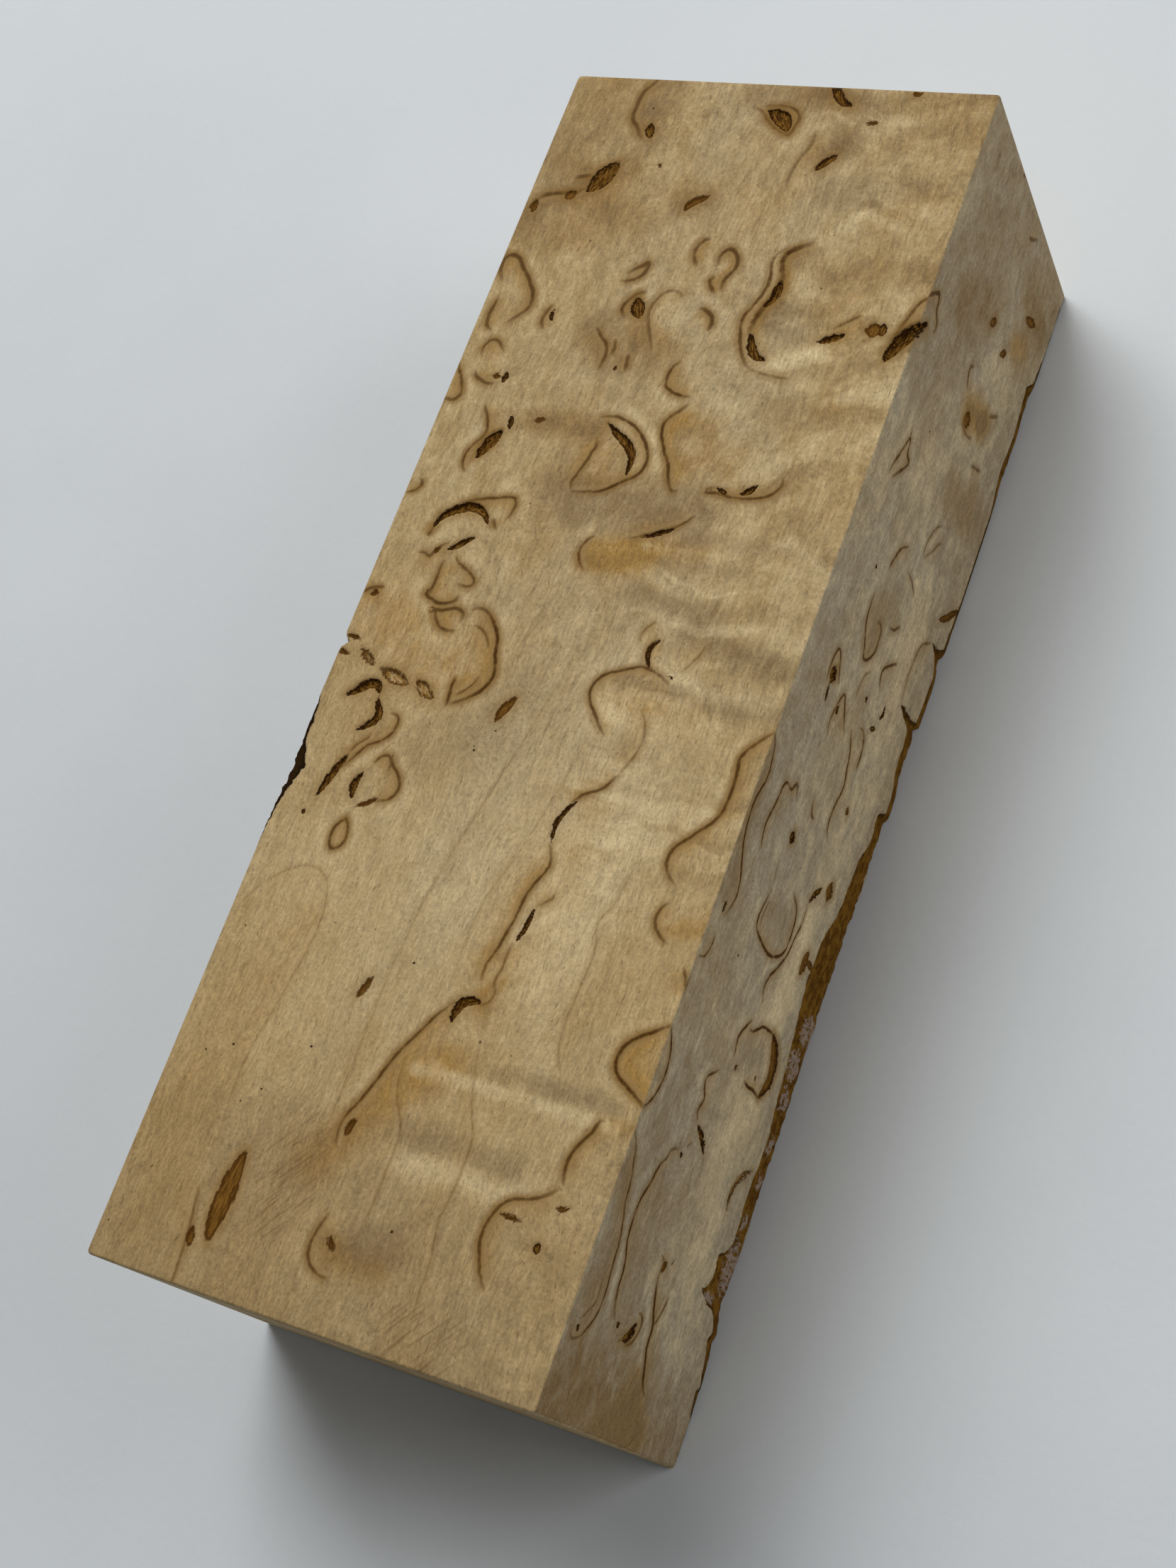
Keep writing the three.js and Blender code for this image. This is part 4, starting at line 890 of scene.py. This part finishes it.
def lay_fleck(laid, fleck, here, places):
    kind, width, depth, line = fleck
    close = near_line(line, places, 0.5 * width + MARK_MEMORY)
    distance, share = beside(line, places[close])
    edge = np.abs(distance) - 0.5 * width * swell(share)
    target = here[close]
    nearer = edge < laid["fleck"][target, 0]
    chosen = target[nearer]
    laid["fleck"][chosen, 0] = edge[nearer]
    laid["fleck"][chosen, 1] = FLECK_TONES[kind]
    laid["fleck"][chosen, 2] = min(1, width - 0.25)
    laid["pit"][chosen, 0] = depth * (1 - fade(-edge[nearer], -0.04, 0.22))
    push = 0.7 * np.exp(-np.maximum(edge, 0) ** 2 / 0.9) * np.tanh(distance / 0.4)
    laid["grain"][target, 1] += push


def lay_stroke(laid, stroke, here, places):
    warm, grey, light, width, line = stroke
    reach = 1.3 * width
    close = near_line(line, places, reach)
    distance, _ = beside(line, places[close])
    soft = fade(np.abs(distance), 0.1 * width, reach)
    target = here[close]
    laid["tone"][target, 0] += warm * soft
    laid["tone"][target, 1] += grey * soft
    laid["tone"][target, 2] += light * soft


def figure_amounts(points):
    """How much of the wood's flames with their painted sheen, clouds, and grey (on the front partly
    painted shade) each point shows.
    """
    x, y, _ = points.T
    numbers = face_numbers(points)
    figure = np.tile((0.5, 0.6, 0.15), (len(points), 1))
    top = numbers == TOP_FACE
    figure[top, 0] = (rise(-y, 1, 8) * (0.35 + 0.65 * rise(x, -40, 2)))[top]
    figure[top, 1] = (0.5 + 0.6 * rise(x, -20, 20))[top]
    figure[top, 2] = (0.12 * fade(np.abs(y + 2), 4, 16) * rise(x, -50, -10))[top]
    front = numbers == FRONT_FACE
    # The front is greyed, partly its own grey and partly painted shade of a face turned from the window.
    figure[front] = (0.15, 1.15, 0.55)
    return figure


def scratched_places(points):
    """Two places near the top's near end show slanting marks of coarse sanding, the rest little."""
    x, y, _ = points.T
    upper = fade(np.hypot((x + 51) / 8, (y - 6) / 4.5), 0.4, 1.0)
    lower = fade(np.hypot((x + 60) / 5, (y + 11) / 5.5), 0.4, 1.0)
    return np.where(face_numbers(points) == TOP_FACE, upper + lower, 0.15)


def rough(point, size, octaves=3):
    """Even noise from about -1 to 1, with features of the given size."""
    return noise.fractal(Vector(point) / size, 0.6, 2.1, octaves, noise_basis="PERLIN_ORIGINAL")


def lay_bark(laid, points):
    """How far inside the bark each vertex lies, how much grey flake, and if it is in the notch."""
    x, y, z = points.T
    height = bark_height(x)
    inside = np.abs(beside(bark_line, points[:, (0, 2)])[0])
    numbers = face_numbers(points)
    under = numbers == UNDERSIDE
    bark = np.zeros((len(points), 3))
    on_front = np.where(z < height, inside, -inside)
    bark[:, 0] = np.where(numbers == FRONT_FACE, on_front, -MARK_MEMORY)
    roll = BARK_ROLL * (0.55 + 0.35 * np.sin(0.21 * x + 0.8 * np.sin(0.13 * x)))
    roll = roll * np.clip(height / 2.0, 0.15, 1.0)
    bark[under, 0] = (roll + FRONT - y)[under]
    for place, level, reach, tall in BARK_FLAKES:
        gap = np.hypot((x - front_place(place)) / reach, (z - level) / tall)
        bark[:, 1] = np.maximum(bark[:, 1], fade(gap, 0.55, 1.15))
    places, widths, depths = np.array(NOTCH).T
    in_notch = np.where(numbers == TOP_FACE, np.interp(x, places, widths) - (BACK - y),
                        0.5 * (np.interp(x, places, depths) - (TOP - z)))
    in_notch[(y < BACK - 3) | (z < TOP - 6) | (x < places[0]) | (x > places[-1])] = -MARK_MEMORY
    bark[:, 2] = in_notch > bark[:, 0]
    bark[:, 0] = np.clip(np.maximum(bark[:, 0], in_notch), -MARK_MEMORY, 3)
    laid["bark"] = bark


def carved(points, laid):
    """The vertices sunk into pockets, bark, notch and chip, and the near end's foot set in."""
    numbers = face_numbers(points)
    outward = np.array([face.out for face in faces])[numbers]
    moved = points - outward * laid["pit"][:, :1]
    sink_bark(points, moved, numbers, laid["bark"])
    carve_notch(points, moved, numbers)
    carve_chip(points, moved)
    near_share = np.clip((UNDERCUT_REACH - HALF_LENGTH - points[:, 0]) / UNDERCUT_REACH, 0, 1)
    moved[:, 0] += UNDERCUT * near_share * (1 - points[:, 2] / TOP)
    return moved


def between(value, start, end):
    return min(1.0, max(0.0, (value - start) / (end - start)))


def sink_bark(points, moved, numbers, bark):
    """The bark lies behind the sawn face in rough plates, and curls away at its lower edge."""
    for index in np.flatnonzero((bark[:, 0] > -0.1) & (points[:, 1] < FRONT + BARK_ROLL)):
        x, y, z = points[index]
        edge = between(bark[index, 0], -0.1, 0.2)
        plates = rough((x * 0.7, y, z * 1.3), 0.9)
        furrows = abs(rough((x * 1.6, y + 7, z), 0.8, 2))
        hollow = BARK_SINK * (0.45 - 0.4 * bark[index, 1])
        ridges = BARK_RIDGES * (0.5 - 0.5 * plates - 0.3 * furrows)
        height = bark_height(x)
        low_edge = 1 - min(1.0, z / max(0.25 * height, 0.3))
        curl = BARK_CURL * low_edge ** 2
        share = between(height, 0.6, 3.0)
        sink = max(BARK_STEP + hollow + ridges, 0.02) + curl
        moved[index, 1] = max(y + edge * share * sink, FRONT + 0.01)
        if numbers[index] == UNDERSIDE:
            moved[index, 2] = z + BARK_LIFT * between(bark[index, 0], 0, 1.5)


def carve_notch(points, moved, numbers):
    """The top face bends down to the notch's knee, and the back face bends in to it."""
    places, widths, depths = np.array(NOTCH).T
    section = np.array(NOTCH_SECTION)
    x, y, z = points.T
    near = (x > places[0]) & (x < places[-1]) & (y > BACK - 2.6) & (z > TOP - 5)
    for index in np.flatnonzero(near):
        width = np.interp(x[index], places, widths)
        depth = np.interp(x[index], places, depths)
        in_share = (BACK - y[index]) / max(width, 0.05)
        down_share = (TOP - z[index]) / max(depth, 0.05)
        if in_share >= 1 or down_share >= 1:
            continue
        if numbers[index] == TOP_FACE:
            in_share = NOTCH_KNEE[0] + (1 - NOTCH_KNEE[0]) * in_share
            down_share = np.interp(-in_share, -section[:, 0], section[:, 1])
        else:
            down_share = NOTCH_KNEE[1] + (1 - NOTCH_KNEE[1]) * down_share
            in_share = np.interp(down_share, section[:, 1], section[:, 0])
        ragged = NOTCH_RAGGED * rough((x[index], y[index], z[index]), 0.55)
        moved[index, 1] = BACK - max(0.01, width * in_share + ragged * min(1, width))
        moved[index, 2] = TOP - max(0.01, depth * down_share + 0.6 * ragged * min(1, depth))


def carve_chip(points, moved):
    x, y, z = points.T
    along = np.abs(x - CHIP_PLACE) / CHIP_HALF_WIDTH
    inward = (BACK - y) / CHIP_DEEP
    down = (TOP - z) / (1.6 * CHIP_DEEP)
    gap = along + inward + down
    for index in np.flatnonzero((gap < 1) & (y > BACK - 2) & (z > TOP - 3)):
        sink = CHIP_DEEP * (1 - gap[index]) * 0.75
        moved[index, 1] -= sink
        moved[index, 2] -= 0.8 * sink


def write_sheet(mesh, numbers, points):
    """Lays the six faces side by side on one sheet, so that the finish can be baked sharply."""
    rows = [SHEET_MARGIN]
    for height in (BACK - FRONT, TOP, TOP):
        rows.append(rows[-1] + height + SHEET_MARGIN)
    layer = mesh.uv_layers.new(name="OFBake")
    corner_count = len(mesh.loops)
    vertex_of = np.empty(corner_count, dtype=np.int32)
    mesh.loops.foreach_get("vertex_index", vertex_of)
    face_of = np.repeat(numbers, 3)
    u = np.empty(corner_count)
    v = np.empty(corner_count)
    for number, face in enumerate(faces):
        here = face_of == number
        place = points[vertex_of[here]][:, face.axes]
        if number < len(rows):
            u[here] = SHEET_MARGIN + place[:, 0] + HALF_LENGTH
            v[here] = rows[number] + place[:, 1] - (FRONT if face.axes[1] == 1 else 0)
        else:
            u[here] = 3 * SHEET_MARGIN + 2 * HALF_LENGTH + place[:, 0] - FRONT
            v[here] = SHEET_MARGIN + place[:, 1] + (0 if number == NEAR_END else TOP + SHEET_MARGIN)
    flat = np.stack([u / SHEET, v / SHEET], axis=1).ravel()
    layer.data.foreach_set("uv", flat.astype(np.float32))


def build_block():
    shape = sawn_block()
    refine(shape)
    mesh = bpy.data.meshes.new("birch block")
    shape.to_mesh(mesh)
    shape.free()
    points = np.empty(len(mesh.vertices) * 3)
    mesh.vertices.foreach_get("co", points)
    points = points.reshape(-1, 3)
    laid = lay_marks(points)
    lay_bark(laid, points)
    moved = carved(points, laid)
    laid["figure"] = figure_amounts(points)
    laid["grain"][:, 0] = scratched_places(points)
    for name, values in laid.items():
        attribute = mesh.attributes.new(name, "FLOAT_VECTOR", "POINT")
        attribute.data.foreach_set("vector", values.astype(np.float32).ravel())
    triangles = np.empty(len(mesh.polygons) * 3, dtype=np.int32)
    mesh.loops.foreach_get("vertex_index", triangles)
    centres = points[triangles].reshape(-1, 3, 3).mean(axis=1)
    write_sheet(mesh, face_numbers(centres), points)
    mesh.vertices.foreach_set("co", (moved * MM).ravel())
    mesh.shade_smooth()
    mesh.update()
    block = bpy.data.objects.new("birch_block", mesh)
    bpy.context.scene.collection.objects.link(block)
    return block


# The material.

class Wire:
    """A value that runs between shader nodes. Sums on wires become Math nodes."""

    def __init__(self, paint, socket):
        self.paint = paint
        self.socket = socket

    def maths(self, operation, first, second=None):
        inputs = {0: first} if second is None else {0: first, 1: second}
        return self.paint.make("ShaderNodeMath", {"operation": operation}, inputs).wire("Value")

    def __add__(self, other):
        return self.maths("ADD", self, other)

    def __radd__(self, other):
        return self.maths("ADD", other, self)

    def __sub__(self, other):
        return self.maths("SUBTRACT", self, other)

    def __rsub__(self, other):
        return self.maths("SUBTRACT", other, self)

    def __mul__(self, other):
        return self.maths("MULTIPLY", self, other)

    def __rmul__(self, other):
        return self.maths("MULTIPLY", other, self)

    def __truediv__(self, other):
        return self.maths("DIVIDE", self, other)

    def __rtruediv__(self, other):
        return self.maths("DIVIDE", other, self)

    def size(self):
        return self.maths("ABSOLUTE", self)

    def largest(self, other):
        return self.maths("MAXIMUM", self, other)

    def clipped(self):
        return self.paint.make("ShaderNodeClamp", {}, {"Value": self}).wire("Result")

    def rise(self, start, end):
        """Zero at start, one at end, smooth between. Falls where end is below start."""
        settings = {"interpolation_type": "SMOOTHSTEP"}
        inputs = {"Value": self, "From Min": start, "From Max": end}
        return self.paint.make("ShaderNodeMapRange", settings, inputs).wire("Result")


class Made:
    """A node that has been made, with its outputs by name."""

    def __init__(self, paint, node):
        self.paint = paint
        self.node = node

    def wire(self, name):
        return Wire(self.paint, self.node.outputs[name])


class Paint:
    """A material's node tree, and one method that makes any node in it."""

    def __init__(self, name):
        self.material = bpy.data.materials.new(name)
        self.material.use_nodes = True
        self.tree = self.material.node_tree
        self.tree.nodes.clear()

    def make(self, kind, settings, inputs):
        node = self.tree.nodes.new(kind)
        for name, value in settings.items():
            setattr(node, name, value)
        for name, value in inputs.items():
            if isinstance(value, Wire):
                self.tree.links.new(value.socket, node.inputs[name])
            else:
                node.inputs[name].default_value = value
        return Made(self, node)

    def noise(self, place, scale, detail=2.0, roughness=0.5, distortion=0.0):
        """Noise of one scale, or stretched by a scale for each axis."""
        if isinstance(scale, tuple):
            place = self.make("ShaderNodeMapping", {}, {"Vector": place, "Scale": scale}).wire("Vector")
            scale = 1.0
        inputs = {"Vector": place, "Scale": scale, "Detail": detail, "Roughness": roughness,
                  "Distortion": distortion}
        return self.make("ShaderNodeTexNoise", {}, inputs).wire("Fac")

    def shifted(self, place, moves):
        """The place moved along the axes that are named."""
        shift = self.make("ShaderNodeCombineXYZ", {}, moves).wire("Vector")
        return self.make("ShaderNodeVectorMath", {"operation": "ADD"}, {0: place, 1: shift}).wire("Vector")

    def attribute(self, name):
        vector = self.make("ShaderNodeAttribute", {"attribute_name": name}, {}).wire("Vector")
        parts = self.make("ShaderNodeSeparateXYZ", {}, {"Vector": vector})
        return parts.wire("X"), parts.wire("Y"), parts.wire("Z")

    def blend(self, share, first, second, mode="MIX"):
        node = self.make("ShaderNodeMix", {"data_type": "RGBA", "blend_type": mode}, {})
        for name, value in (("Factor_Float", share), ("A_Color", first), ("B_Color", second)):
            socket = next(item for item in node.node.inputs if item.identifier == name)
            if isinstance(value, Wire):
                self.tree.links.new(value.socket, socket)
            else:
                socket.default_value = value
        colour = next(item for item in node.node.outputs if item.identifier == "Result_Color")
        return Wire(self, colour)

    def finished(self, colour, roughness, bump, sheen):
        """Ends the material with one surface, and gives the material."""
        normal = self.make("ShaderNodeBump", {}, bump).wire("Normal")
        shader = self.make("ShaderNodeBsdfPrincipled", {}, {
            "Base Color": colour, "Roughness": roughness, "Normal": normal, "Specular IOR Level": sheen,
        })
        self.make("ShaderNodeOutputMaterial", {}, {"Surface": shader.wire("BSDF")})
        return self.material


PALE_BIRCH = (0.58, 0.43, 0.222, 1)
FULL_BIRCH = (0.46, 0.33, 0.160, 1)
HONEY = (0.42, 0.245, 0.07, 1)
# The front's grey, partly the wood's own and partly painted shade of that face.
GREY_AND_SHADED_BIRCH = (0.335, 0.325, 0.275, 1)
GREY_BROWN = (0.29, 0.215, 0.13, 1)
SHADE_BROWN = (0.25, 0.16, 0.07, 1)
CREAM = (0.78, 0.62, 0.36, 1)
PORE_BROWN = (0.20, 0.115, 0.045, 1)
OLD_STAIN = (0.26, 0.165, 0.07, 1)
VEIN_BROWN = (0.075, 0.030, 0.004, 1)
VEIN_SHADE = (0.28, 0.155, 0.040, 1)
FLECK_BLACK = (0.026, 0.008, 0.001, 1)
FLECK_BROWN = (0.098, 0.040, 0.005, 1)
FLECK_TAN = (0.245, 0.115, 0.020, 1)
FLECK_OCHRE = (0.31, 0.155, 0.025, 1)
FLECK_STRAW = (0.52, 0.37, 0.18, 1)
BARK_DARK = (0.030, 0.012, 0.002, 1)
BARK_BLACK = (0.008, 0.004, 0.002, 1)
BARK_RUST = (0.23, 0.112, 0.015, 1)
BARK_BROWN = (0.110, 0.047, 0.006, 1)
BARK_GREY = (0.36, 0.285, 0.235, 1)
SCRATCH_SLANT = math.radians(38)
GRAIN_RELIEF = 0.09 * MM
WOOD_SHEEN = 0.04


def grain_place(paint):
    """Millimetres on the block, the same with the grain wandering and parting round the flecks,
    and how scratched the wood is."""
    coordinates = paint.make("ShaderNodeTexCoord", {}, {}).wire("Object")
    place = paint.make("ShaderNodeVectorMath", {"operation": "SCALE"}, {0: coordinates, "Scale": 1 / MM})
    plain = place.wire("Vector")
    wander = paint.noise(plain, (0.02, 0.08, 0.08), 2.0)
    ripple = paint.noise(plain, (0.14, 0.16, 0.16), 2.0)
    scratched, push, _ = paint.attribute("grain")
    drift = (wander - 0.5) * 5.0 + (ripple - 0.5) * 1.4 + push * 0.8
    bent = paint.shifted(plain, {"Y": drift, "Z": drift * 0.7})
    return plain, bent, scratched


def flame_figure_and_sheen(paint, plain, amount):
    """Painted sheen of the flame figure: folds of light across the grain, each pale on one side and dark
    on the other.
    """
    sway = (paint.noise(plain, (0.03, 0.1, 0.1), 2.0) - 0.5) * 12.0
    swayed = paint.shifted(plain, {"X": sway})
    hills = paint.noise(swayed, (0.36, 0.055, 0.055), 2.0, 0.5, 0.5)
    comb = paint.noise(swayed, (1.7, 0.25, 0.25), 3.0, 0.6)
    places = paint.noise(plain, (0.1, 0.09, 0.09), 1.0).rise(0.34, 0.62)
    lit = (hills.rise(0.36, 0.64) - 0.5) * (0.1 + places * 0.9)
    return amount * (lit * 0.9 + (comb - 0.5) * (0.15 + places * 0.6))


def birch_ground(paint, plain, bent, figure):
    """Bare wood: streaks, fibres, pores, old stains, flames across the grain with a painted sheen, broad
    tones with some painted sheen and shade, and the front's grey, partly painted shade.
    """
    fibres = paint.noise(bent, (0.7, 4.4, 4.4), 4.0, 0.62)
    grit = paint.noise(bent, 3.4, 3.0, 0.6, 0.6)
    streaks = paint.noise(bent, (0.06, 1.3, 1.3), 4.0, 0.6)
    broad = paint.noise(plain, (0.05, 0.09, 0.09), 2.0)
    mottle = paint.noise(bent, (0.36, 0.55, 0.55), 5.0, 0.66, 0.5)
    silk = paint.noise(bent, (0.45, 2.2, 2.2), 3.0, 0.65)
    warm, grey, light = paint.attribute("tone")
    flame_and_sheen, cloud, grey_and_shade = figure
    base = paint.blend(streaks.rise(0.15, 0.85), PALE_BIRCH, FULL_BIRCH)
    # Greys the front, partly as painted shade of that face.
    base = paint.blend(grey_and_shade, base, GREY_AND_SHADED_BIRCH)
    stains = paint.noise(plain, (0.15, 0.22, 0.22), 4.0, 0.62).rise(0.46, 0.72)
    warmth = broad.rise(0.35, 0.7) * 0.2 + stains * cloud * 0.3 * (1.0 - grey_and_shade) + warm * 0.9
    base = paint.blend(warmth.clipped(), base, HONEY)
    base = paint.blend((grey * 0.6 + broad.rise(0.6, 0.25) * 0.15).clipped(), base, GREY_BROWN)
    # Pales the wood to cream or darkens it to brown by its own mottle and tone, with the flames' painted
    # sheen and the near end's painted shade.
    tone_and_painted_light = flame_figure_and_sheen(paint, plain, flame_and_sheen) + (mottle - 0.5) * cloud * 2.1 + light * 1.15
    base = paint.blend((tone_and_painted_light * 0.8).clipped(), base, CREAM)
    base = paint.blend((tone_and_painted_light * -0.9).clipped(), base, SHADE_BROWN)
    stained = (warm + (streaks - 0.5) * 0.5).rise(0.78, 0.98) * grey_and_shade.rise(0.3, 0.5)
    base = paint.blend(stained * 0.85, base, OLD_STAIN)
    shade = fibres * 0.92 + grit * 0.95 + silk * 0.33 - 0.1
    level = paint.make("ShaderNodeCombineColor", {}, {0: shade, 1: shade, 2: shade}).wire("Color")
    base = paint.blend(1.0, base, level, "MULTIPLY")
    pores = paint.noise(bent, (1.3, 8.0, 8.0), 1.0, 0.5)
    base = paint.blend(pores.rise(0.64, 0.78) * 0.65, base, PORE_BROWN)
    return base, fibres, pores


def sanding_scratches(paint, plain, scratched, base):
    slanted = paint.make("ShaderNodeVectorRotate", {"rotation_type": "Z_AXIS"},
                         {"Vector": plain, "Angle": SCRATCH_SLANT}).wire("Vector")
    scratches = paint.noise(slanted, (0.22, 3.2, 1.0), 3.0, 0.6)
    return paint.blend(scratches.rise(0.5, 0.64) * scratched * 0.6, base, PORE_BROWN)


def vein_marks(paint, plain):
    """How strongly the veins, and the shade beside them, show."""
    waver = (paint.noise(plain, 1.7, 3.0, 0.6) - 0.5) * 0.22
    breaks = paint.noise(plain, 0.75, 4.0, 0.65).rise(0.3, 0.56)
    line = None
    shade = None
    light = None
    for layer in range(VEIN_LAYERS):
        distance, strength, width = paint.attribute(f"vein_{layer}")
        offset = distance + waver
        gap = offset.size() / width.largest(0.15)
        core = (gap / (0.7 + breaks * 0.45)).rise(0.78, 0.24) * strength
        soft = gap.rise(3.2, 0.3) * strength
        pale = offset.rise(0.05, 0.2) * offset.rise(0.85, 0.2) * (strength * 2.5).clipped()
        line = core if line is None else line.largest(core)
        shade = soft if shade is None else shade.largest(soft)
        light = pale if light is None else light.largest(pale)
    return line * (0.55 + breaks * 0.45), shade, light


def paint_birch():
    paint = Paint("masur birch")
    plain, bent, scratched = grain_place(paint)
    figure = paint.attribute("figure")
    grey_and_shade = figure[2]
    colour, fibres, pores = birch_ground(paint, plain, bent, figure)
    colour = sanding_scratches(paint, plain, scratched, colour)
    line, shade, light = vein_marks(paint, plain)
    colour = paint.blend(light * (0.25 - grey_and_shade * 0.3), colour, CREAM)
    colour = paint.blend(shade * (0.9 - grey_and_shade * 0.65), colour, VEIN_SHADE)
    colour = paint.blend((line * (0.92 + grey_and_shade * 0.5)).clipped(), colour, VEIN_BROWN)
    colour, fleck = paint_flecks(paint, plain, bent, colour)
    colour, bark = paint_bark(paint, plain, colour)
    roughness = 0.58 + fibres * 0.12 + fleck * 0.12 + bark * 0.25
    height = fibres * 0.35 - pores.rise(0.66, 0.82) * 0.5 - line * 0.5
    crumbs = paint.noise(plain, 3.2, 4.0, 0.65)
    height = height + crumbs * (fleck + bark) * 1.6
    bump = {"Height": height, "Strength": 0.5, "Distance": GRAIN_RELIEF}
    return paint.finished(colour, roughness, bump, WOOD_SHEEN)


def paint_flecks(paint, plain, bent, colour):
    """Bark grown into the wood: dark rims, brown and ochre cores, and a stain around them."""
    edge, tone, spread = paint.attribute("fleck")
    ragged = paint.noise(plain, 2.0, 4.0, 0.68)
    crumbs = paint.noise(bent, (1.3, 3.4, 3.4), 4.0, 0.7)
    threads = paint.noise(bent, (0.7, 4.6, 4.6), 3.0, 0.65)
    reach = edge + (ragged - 0.5) * 0.5 + (threads - 0.5) * (1.1 - tone) * 0.9
    inside = reach.rise(0.12 - tone * 0.05, -0.08 + tone * 0.05)
    core = reach.rise(-0.05, -0.5 + tone * 0.26)
    stain = edge.rise(1.1, -0.1) * spread
    dark_core = paint.blend(crumbs.rise(0.30, 0.52), FLECK_BLACK, FLECK_BROWN)
    dark_core = paint.blend(crumbs.rise(0.46, 0.6) * 0.85, dark_core, FLECK_OCHRE)
    brown_core = paint.blend(threads.rise(0.4, 0.58), FLECK_BROWN, FLECK_TAN)
    pale_core = paint.blend(crumbs.rise(0.44, 0.56), FLECK_OCHRE, FLECK_STRAW)
    filled = paint.blend(tone.rise(0.0, 0.5), pale_core, brown_core)
    filled = paint.blend(tone.rise(0.5, 1.0), filled, dark_core)
    rim = paint.blend(tone.rise(0.52, 0.8) * 0.85 + 0.1, FLECK_BROWN, FLECK_BLACK)
    filled = paint.blend(core, rim, filled)
    colour = paint.blend(stain * (0.5 + tone * 0.22), colour, VEIN_SHADE)
    return paint.blend(inside, colour, filled), inside


def paint_bark(paint, plain, colour):
    """A dark ragged border, smooth rusty inner bark, and flakes of grey outer bark."""
    depth, flake, black = paint.attribute("bark")
    ragged = paint.noise(plain, 1.3, 4.0, 0.62)
    fine = paint.noise(plain, 3.4, 4.0, 0.6)
    plates = paint.noise(plain, (0.9, 1.5, 1.5), 3.0, 0.6)
    reach = depth + (ragged - 0.5) * 0.5
    inside = reach.rise(-0.06, 0.08)
    body = paint.blend(plates.rise(0.35, 0.65), BARK_BROWN, BARK_RUST)
    body = paint.blend(fine.rise(0.5, 0.7) * (0.55 + flake * 0.4), body, BARK_DARK)
    border = reach.rise(0.6, 0.05)
    body = paint.blend(border * 0.8, body, BARK_DARK)
    scales = paint.noise(plain, (2.2, 1.3, 1.3), 4.0, 0.72)
    shown = (flake * 0.9 + (scales - 0.5) * 4.0).rise(0.5, 1.0)
    body = paint.blend(shown * flake.rise(0.0, 0.2) * 0.8, body, BARK_GREY)
    body = paint.blend(black * (1.0 - fine * 0.25), body, BARK_BLACK)
    return paint.blend(inside, colour, body), inside


# Table, lights and camera.

TABLE_REACH = 6.0
TABLE_SHADE = (0.71, 0.755, 0.80, 1)
TABLE_LIGHT = (0.79, 0.835, 0.875, 1)
TABLE_RELIEF = 0.1 * MM
TABLE_SHEEN = 0.5
LIT_POINT = (0, 0, 0.01)
ROOM_LIGHT = (0.97, 0.97, 0.955, 1)
ROOM_STRENGTH = 0.12

# The photograph's view: millimetres for the lens, film and place.
LENS = 52.4846
FILM = 36.0
CAMERA_PLACE = (-67.33, -98.17, 197.85)
CAMERA_FACING = (0.28291, 0.46053, -0.84135)
CAMERA_RIGHT = (0.33803, -0.86878, -0.36187)


def place_camera():
    data = bpy.data.cameras.new("camera")
    data.lens = LENS
    data.sensor_width = FILM
    data.clip_start = 0.005
    facing = Vector(CAMERA_FACING).normalized()
    right = Vector(CAMERA_RIGHT).normalized()
    turn = Matrix((right, right.cross(facing), -facing)).transposed().to_4x4()
    turn.translation = Vector(CAMERA_PLACE) * MM
    camera = bpy.data.objects.new("camera", data)
    camera.matrix_world = turn
    bpy.context.scene.collection.objects.link(camera)
    bpy.context.scene.camera = camera


def paint_table():
    paint = Paint("pale table")
    place = paint.make("ShaderNodeTexCoord", {}, {}).wire("Object")
    weave = paint.noise(place, 900.0, 3.0, 0.6)
    cloud = paint.noise(place, 16.0, 4.0, 0.6).rise(0.3, 0.7)
    colour = paint.blend(weave * 0.3 + cloud * 0.5, TABLE_SHADE, TABLE_LIGHT)
    bump = {"Height": weave, "Strength": 0.25, "Distance": TABLE_RELIEF}
    return paint.finished(colour, 0.6, bump, TABLE_SHEEN)


def lay_table():
    shape = bmesh.new()
    bmesh.ops.create_grid(shape, x_segments=2, y_segments=2, size=TABLE_REACH)
    mesh = bpy.data.meshes.new("table")
    shape.to_mesh(mesh)
    shape.free()
    table = bpy.data.objects.new("table", mesh)
    table.data.materials.append(paint_table())
    bpy.context.scene.collection.objects.link(table)


def hang_light(name, place, size, power, colour):
    data = bpy.data.lights.new(name, "AREA")
    data.shape = "RECTANGLE"
    data.size, data.size_y = size
    data.energy = power
    data.color = colour
    light = bpy.data.objects.new(name, data)
    light.location = place
    light.rotation_euler = (Vector(LIT_POINT) - Vector(place)).to_track_quat("-Z", "Y").to_euler()
    bpy.context.scene.collection.objects.link(light)


def light_scene():
    """One tall window behind the far left corner, a soft fill from the right, and the room."""
    hang_light("window", (0.63, 0.475, 1.01), (0.70, 1.08), 11.7, (1.0, 0.995, 0.975))
    hang_light("fill", (0.3, -0.8, 0.45), (0.6, 0.6), 2.5, (1.0, 0.985, 0.965))
    world = bpy.data.worlds.new("room")
    world.use_nodes = True
    background = next(node for node in world.node_tree.nodes if node.type == "BACKGROUND")
    background.inputs["Color"].default_value = ROOM_LIGHT
    background.inputs["Strength"].default_value = ROOM_STRENGTH
    bpy.context.scene.world = world
    bpy.context.scene.view_settings.view_transform = "Standard"


block = build_block()
block.data.materials.append(paint_birch())
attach(block, "root")
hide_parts(NODE)
lay_table()
light_scene()
place_camera()

print("block triangles:", len(block.data.polygons))
